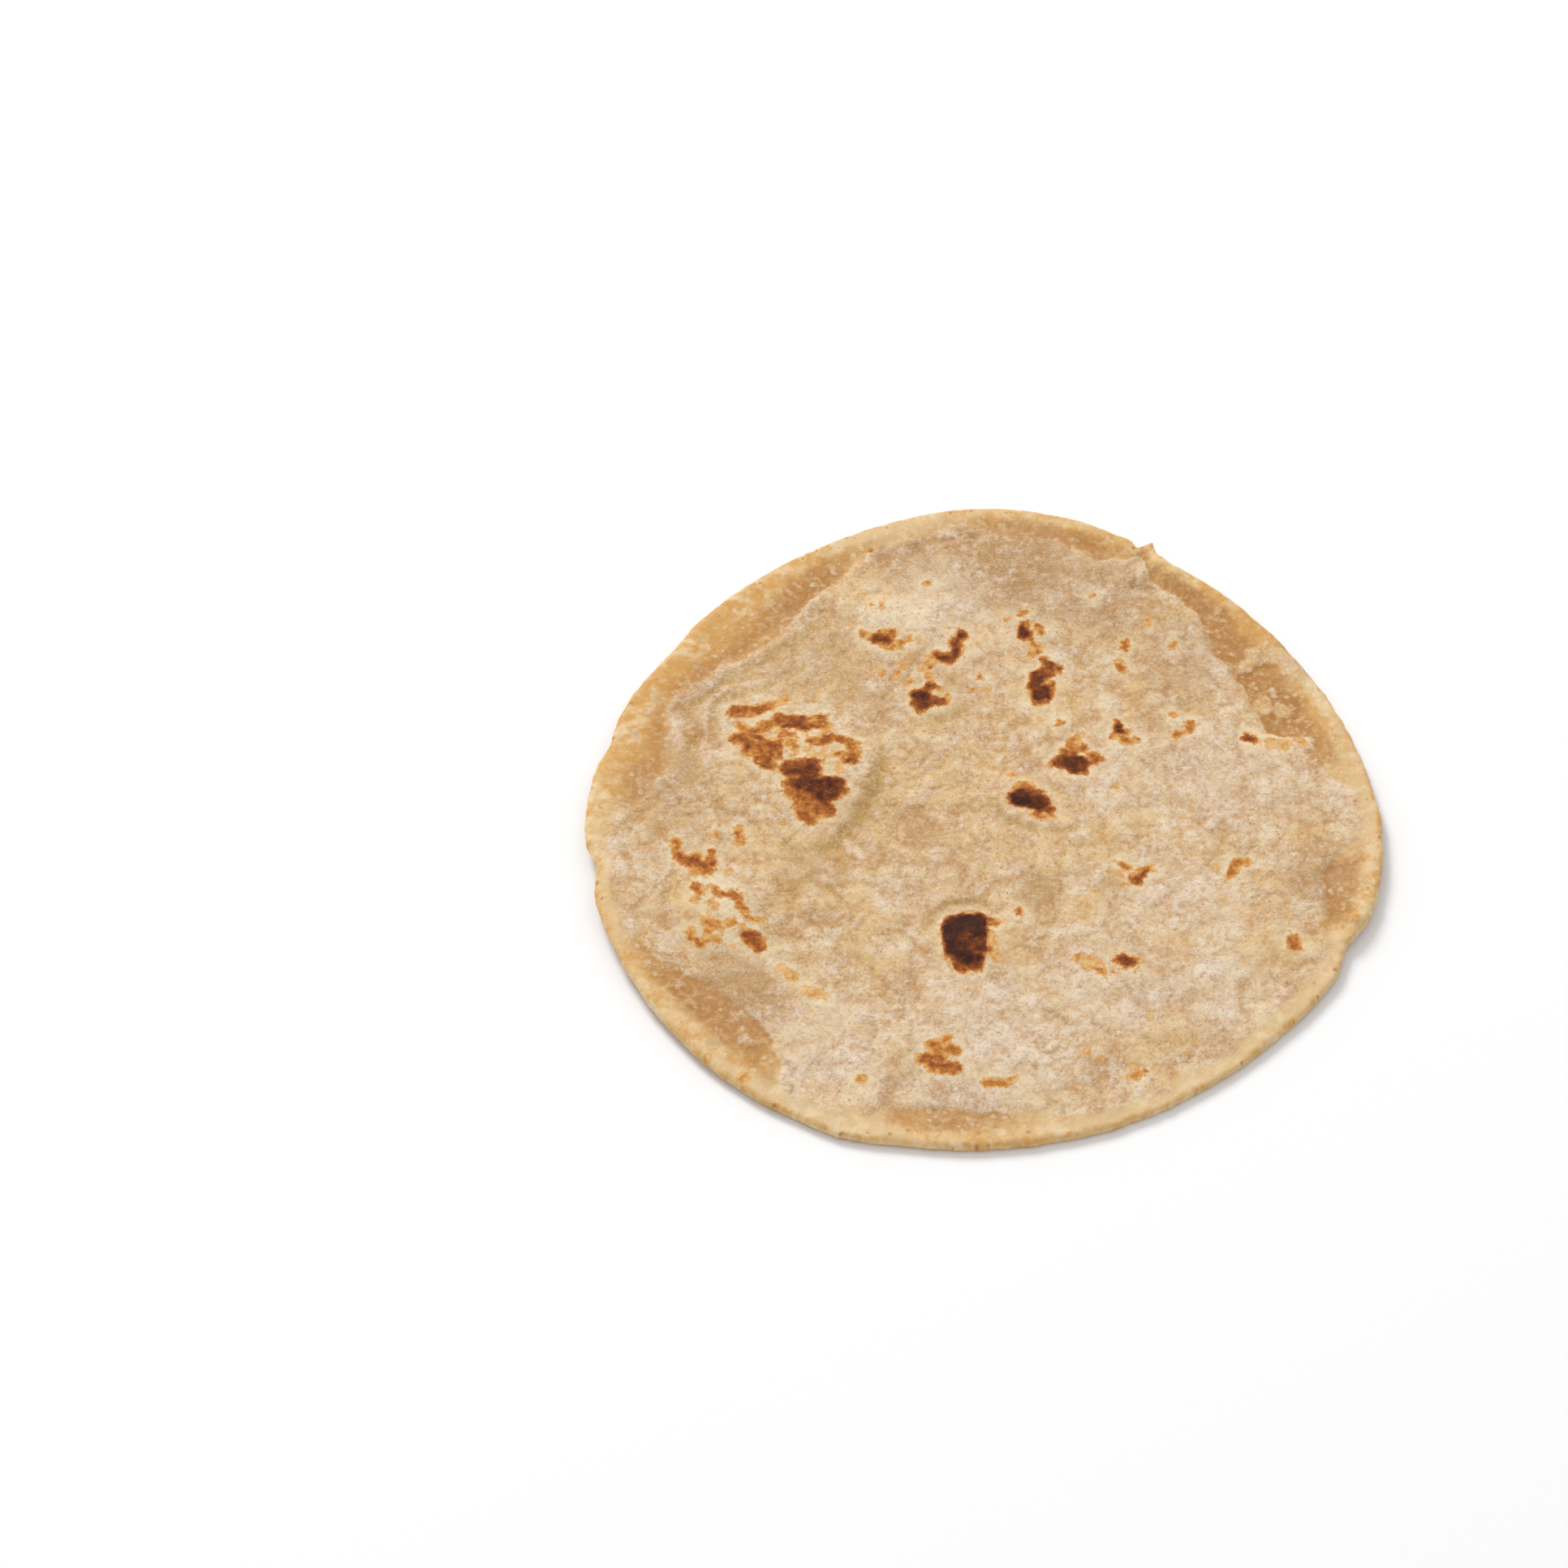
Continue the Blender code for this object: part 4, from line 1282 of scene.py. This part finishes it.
def dough_patterns(tree):
    """The masks, the noise, the dots and all that is worked out of them, by name."""
    place = add(tree, "TexCoord", {}).outputs["Object"]
    here = {name: add(tree, "Attribute", {}, attribute_name=name).outputs["Fac"] for name in MASKS}
    for name, (size, detail, roughness, distortion) in NOISES.items():
        inputs = {
            "Vector": place,
            "Scale": 1.0 / (size * MM),
            "Detail": detail,
            "Roughness": roughness,
            "Distortion": distortion,
        }
        here[name] = add(tree, "TexNoise", inputs).outputs["Fac"]

    waves = {"Vector": place, "Scale": 1.0 / (BEND_SIZE * MM), "Detail": 1.0}
    bent = add(tree, "TexNoise", waves).outputs["Color"]
    bent = add(tree, "VectorMath", {0: bent, 1: (-0.5, -0.5, -0.5)}, operation="ADD").outputs[0]
    bent = add(tree, "VectorMath", {0: bent, "Scale": BEND * MM}, operation="SCALE").outputs[0]
    net = add(tree, "VectorMath", {0: place, 1: bent}, operation="ADD").outputs[0]
    for name, kind in DOTS.items():
        here[name] = dots(tree, net, *kind)

    for name, (terms, *rise) in PATTERNS.items():
        here[name] = worked_out(tree, here, terms, *rise)
    return here


def baked_dough():
    """Baked wholemeal dough: rolled out, dusted with flour and toasted on a dry griddle.

    The rolled face stays matt and crumbly, with flour caught on its crumbs. The lip, which the pin left
    thick, steams more than it toasts, so it is smooth, golden and a little waxy. Toasting leaves a straw
    fringe, then brown that darkens inwards, with a ragged border and a mottled tone.
    """
    material = bpy.data.materials.new("baked_wholemeal_dough")
    material.use_nodes = True
    tree = material.node_tree
    shader = tree.nodes["Principled BSDF"]
    here = dough_patterns(tree)

    crumb = add(tree, "ValToRGB", {"Fac": here["height"]}, stops=CRUMB).outputs["Color"]
    crumb = laid(tree, here, crumb, FACE_LAYERS)
    band = laid(tree, here, LIP_PALE, BAND_LAYERS)
    dough = laid(tree, here, band, [(crumb, "on_face")])
    dough = laid(tree, here, dough, FRINGE_LAYERS)
    brown = add(tree, "ValToRGB", {"Fac": here["heat"]}, stops=BROWNING).outputs["Color"]
    tree.links.new(laid(tree, here, dough, [(brown, "browned")]), shader.inputs["Base Color"])

    # The face is matt, the lip a little waxy
    polish = add(tree, "MapRange", {"Value": here["face"], "To Min": 0.5, "To Max": 0.8})
    tree.links.new(polish.outputs["Result"], shader.inputs["Roughness"])
    shader.inputs["Specular IOR Level"].default_value = 0.15

    bumps = {"Height": here["fine_relief"], "Strength": 0.75, "Distance": 0.32 * MM}
    tree.links.new(add(tree, "Bump", bumps).outputs["Normal"], shader.inputs["Normal"])
    return material


def pale_tabletop():
    """Matt painted board: an even pale ground that takes a soft shadow and mirrors nothing."""
    material = bpy.data.materials.new("pale_tabletop")
    material.use_nodes = True
    shader = material.node_tree.nodes["Principled BSDF"]
    shader.inputs["Base Color"].default_value = linear("#F6F6F6")
    shader.inputs["Roughness"].default_value = 0.9
    shader.inputs["Specular IOR Level"].default_value = 0.1
    return material


# ---------------------------------------------------------------- the studio

FLOOR_SIZE = 6.0
SURROUND_STRENGTH = 0.72
CAMERA_AIM = (-0.04246, 0.00837, 0.0)
CAMERA_ELEVATION = 50.0
CAMERA_DISTANCE = 0.8
LENS, SENSOR_WIDTH = 85.0, 36.0


def make_floor():
    bpy.ops.mesh.primitive_plane_add(size=FLOOR_SIZE, location=(0.0, 0.0, 0.0))
    floor = bpy.context.object
    floor.name = "floor"
    floor.data.materials.append(pale_tabletop())


def aim(item, target):
    item.rotation_euler = (Vector(target) - item.location).to_track_quat("-Z", "Y").to_euler()


def add_light(name, bearing, elevation, distance, size, power):
    """A square softbox that looks at the bread. Bearing is clockwise from +Y, seen from above."""
    light = bpy.data.lights.new(name, "AREA")
    light.shape = "SQUARE"
    light.size = size
    light.energy = power
    lamp = bpy.data.objects.new(name, light)
    bpy.context.collection.objects.link(lamp)
    turn, rise = math.radians(bearing), math.radians(elevation)
    flat = distance * math.cos(rise)
    lamp.location = (flat * math.sin(turn), flat * math.cos(turn), distance * math.sin(rise))
    aim(lamp, (0.0, 0.0, 0.0))


def make_studio():
    world = bpy.data.worlds.new("studio")
    bpy.context.scene.world = world
    world.use_nodes = True
    background = world.node_tree.nodes["Background"]
    background.inputs["Color"].default_value = linear("#FFFFFF")
    background.inputs["Strength"].default_value = SURROUND_STRENGTH
    add_light("key_softbox", bearing=-30.0, elevation=42.0, distance=2.2, size=0.8, power=30.0)
    bpy.context.scene.view_settings.view_transform = "Standard"


def make_camera():
    camera = bpy.data.cameras.new("camera")
    camera.lens = LENS
    camera.sensor_width = SENSOR_WIDTH
    item = bpy.data.objects.new("camera", camera)
    bpy.context.collection.objects.link(item)
    rise = math.radians(CAMERA_ELEVATION)
    away = Vector((0.0, -math.cos(rise), math.sin(rise))) * CAMERA_DISTANCE
    item.location = Vector(CAMERA_AIM) + away
    aim(item, CAMERA_AIM)
    bpy.context.scene.camera = item


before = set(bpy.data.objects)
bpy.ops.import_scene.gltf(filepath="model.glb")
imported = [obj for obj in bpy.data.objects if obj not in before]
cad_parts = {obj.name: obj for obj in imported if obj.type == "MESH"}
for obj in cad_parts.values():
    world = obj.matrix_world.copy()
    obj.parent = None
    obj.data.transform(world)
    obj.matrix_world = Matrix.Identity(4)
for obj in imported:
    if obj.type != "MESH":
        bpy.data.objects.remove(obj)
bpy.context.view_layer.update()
chapati = make_bread(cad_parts["chapati"])
chapati.data.materials.append(baked_dough())
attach(chapati, "root")
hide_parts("chapati")
make_floor()
make_studio()
make_camera()
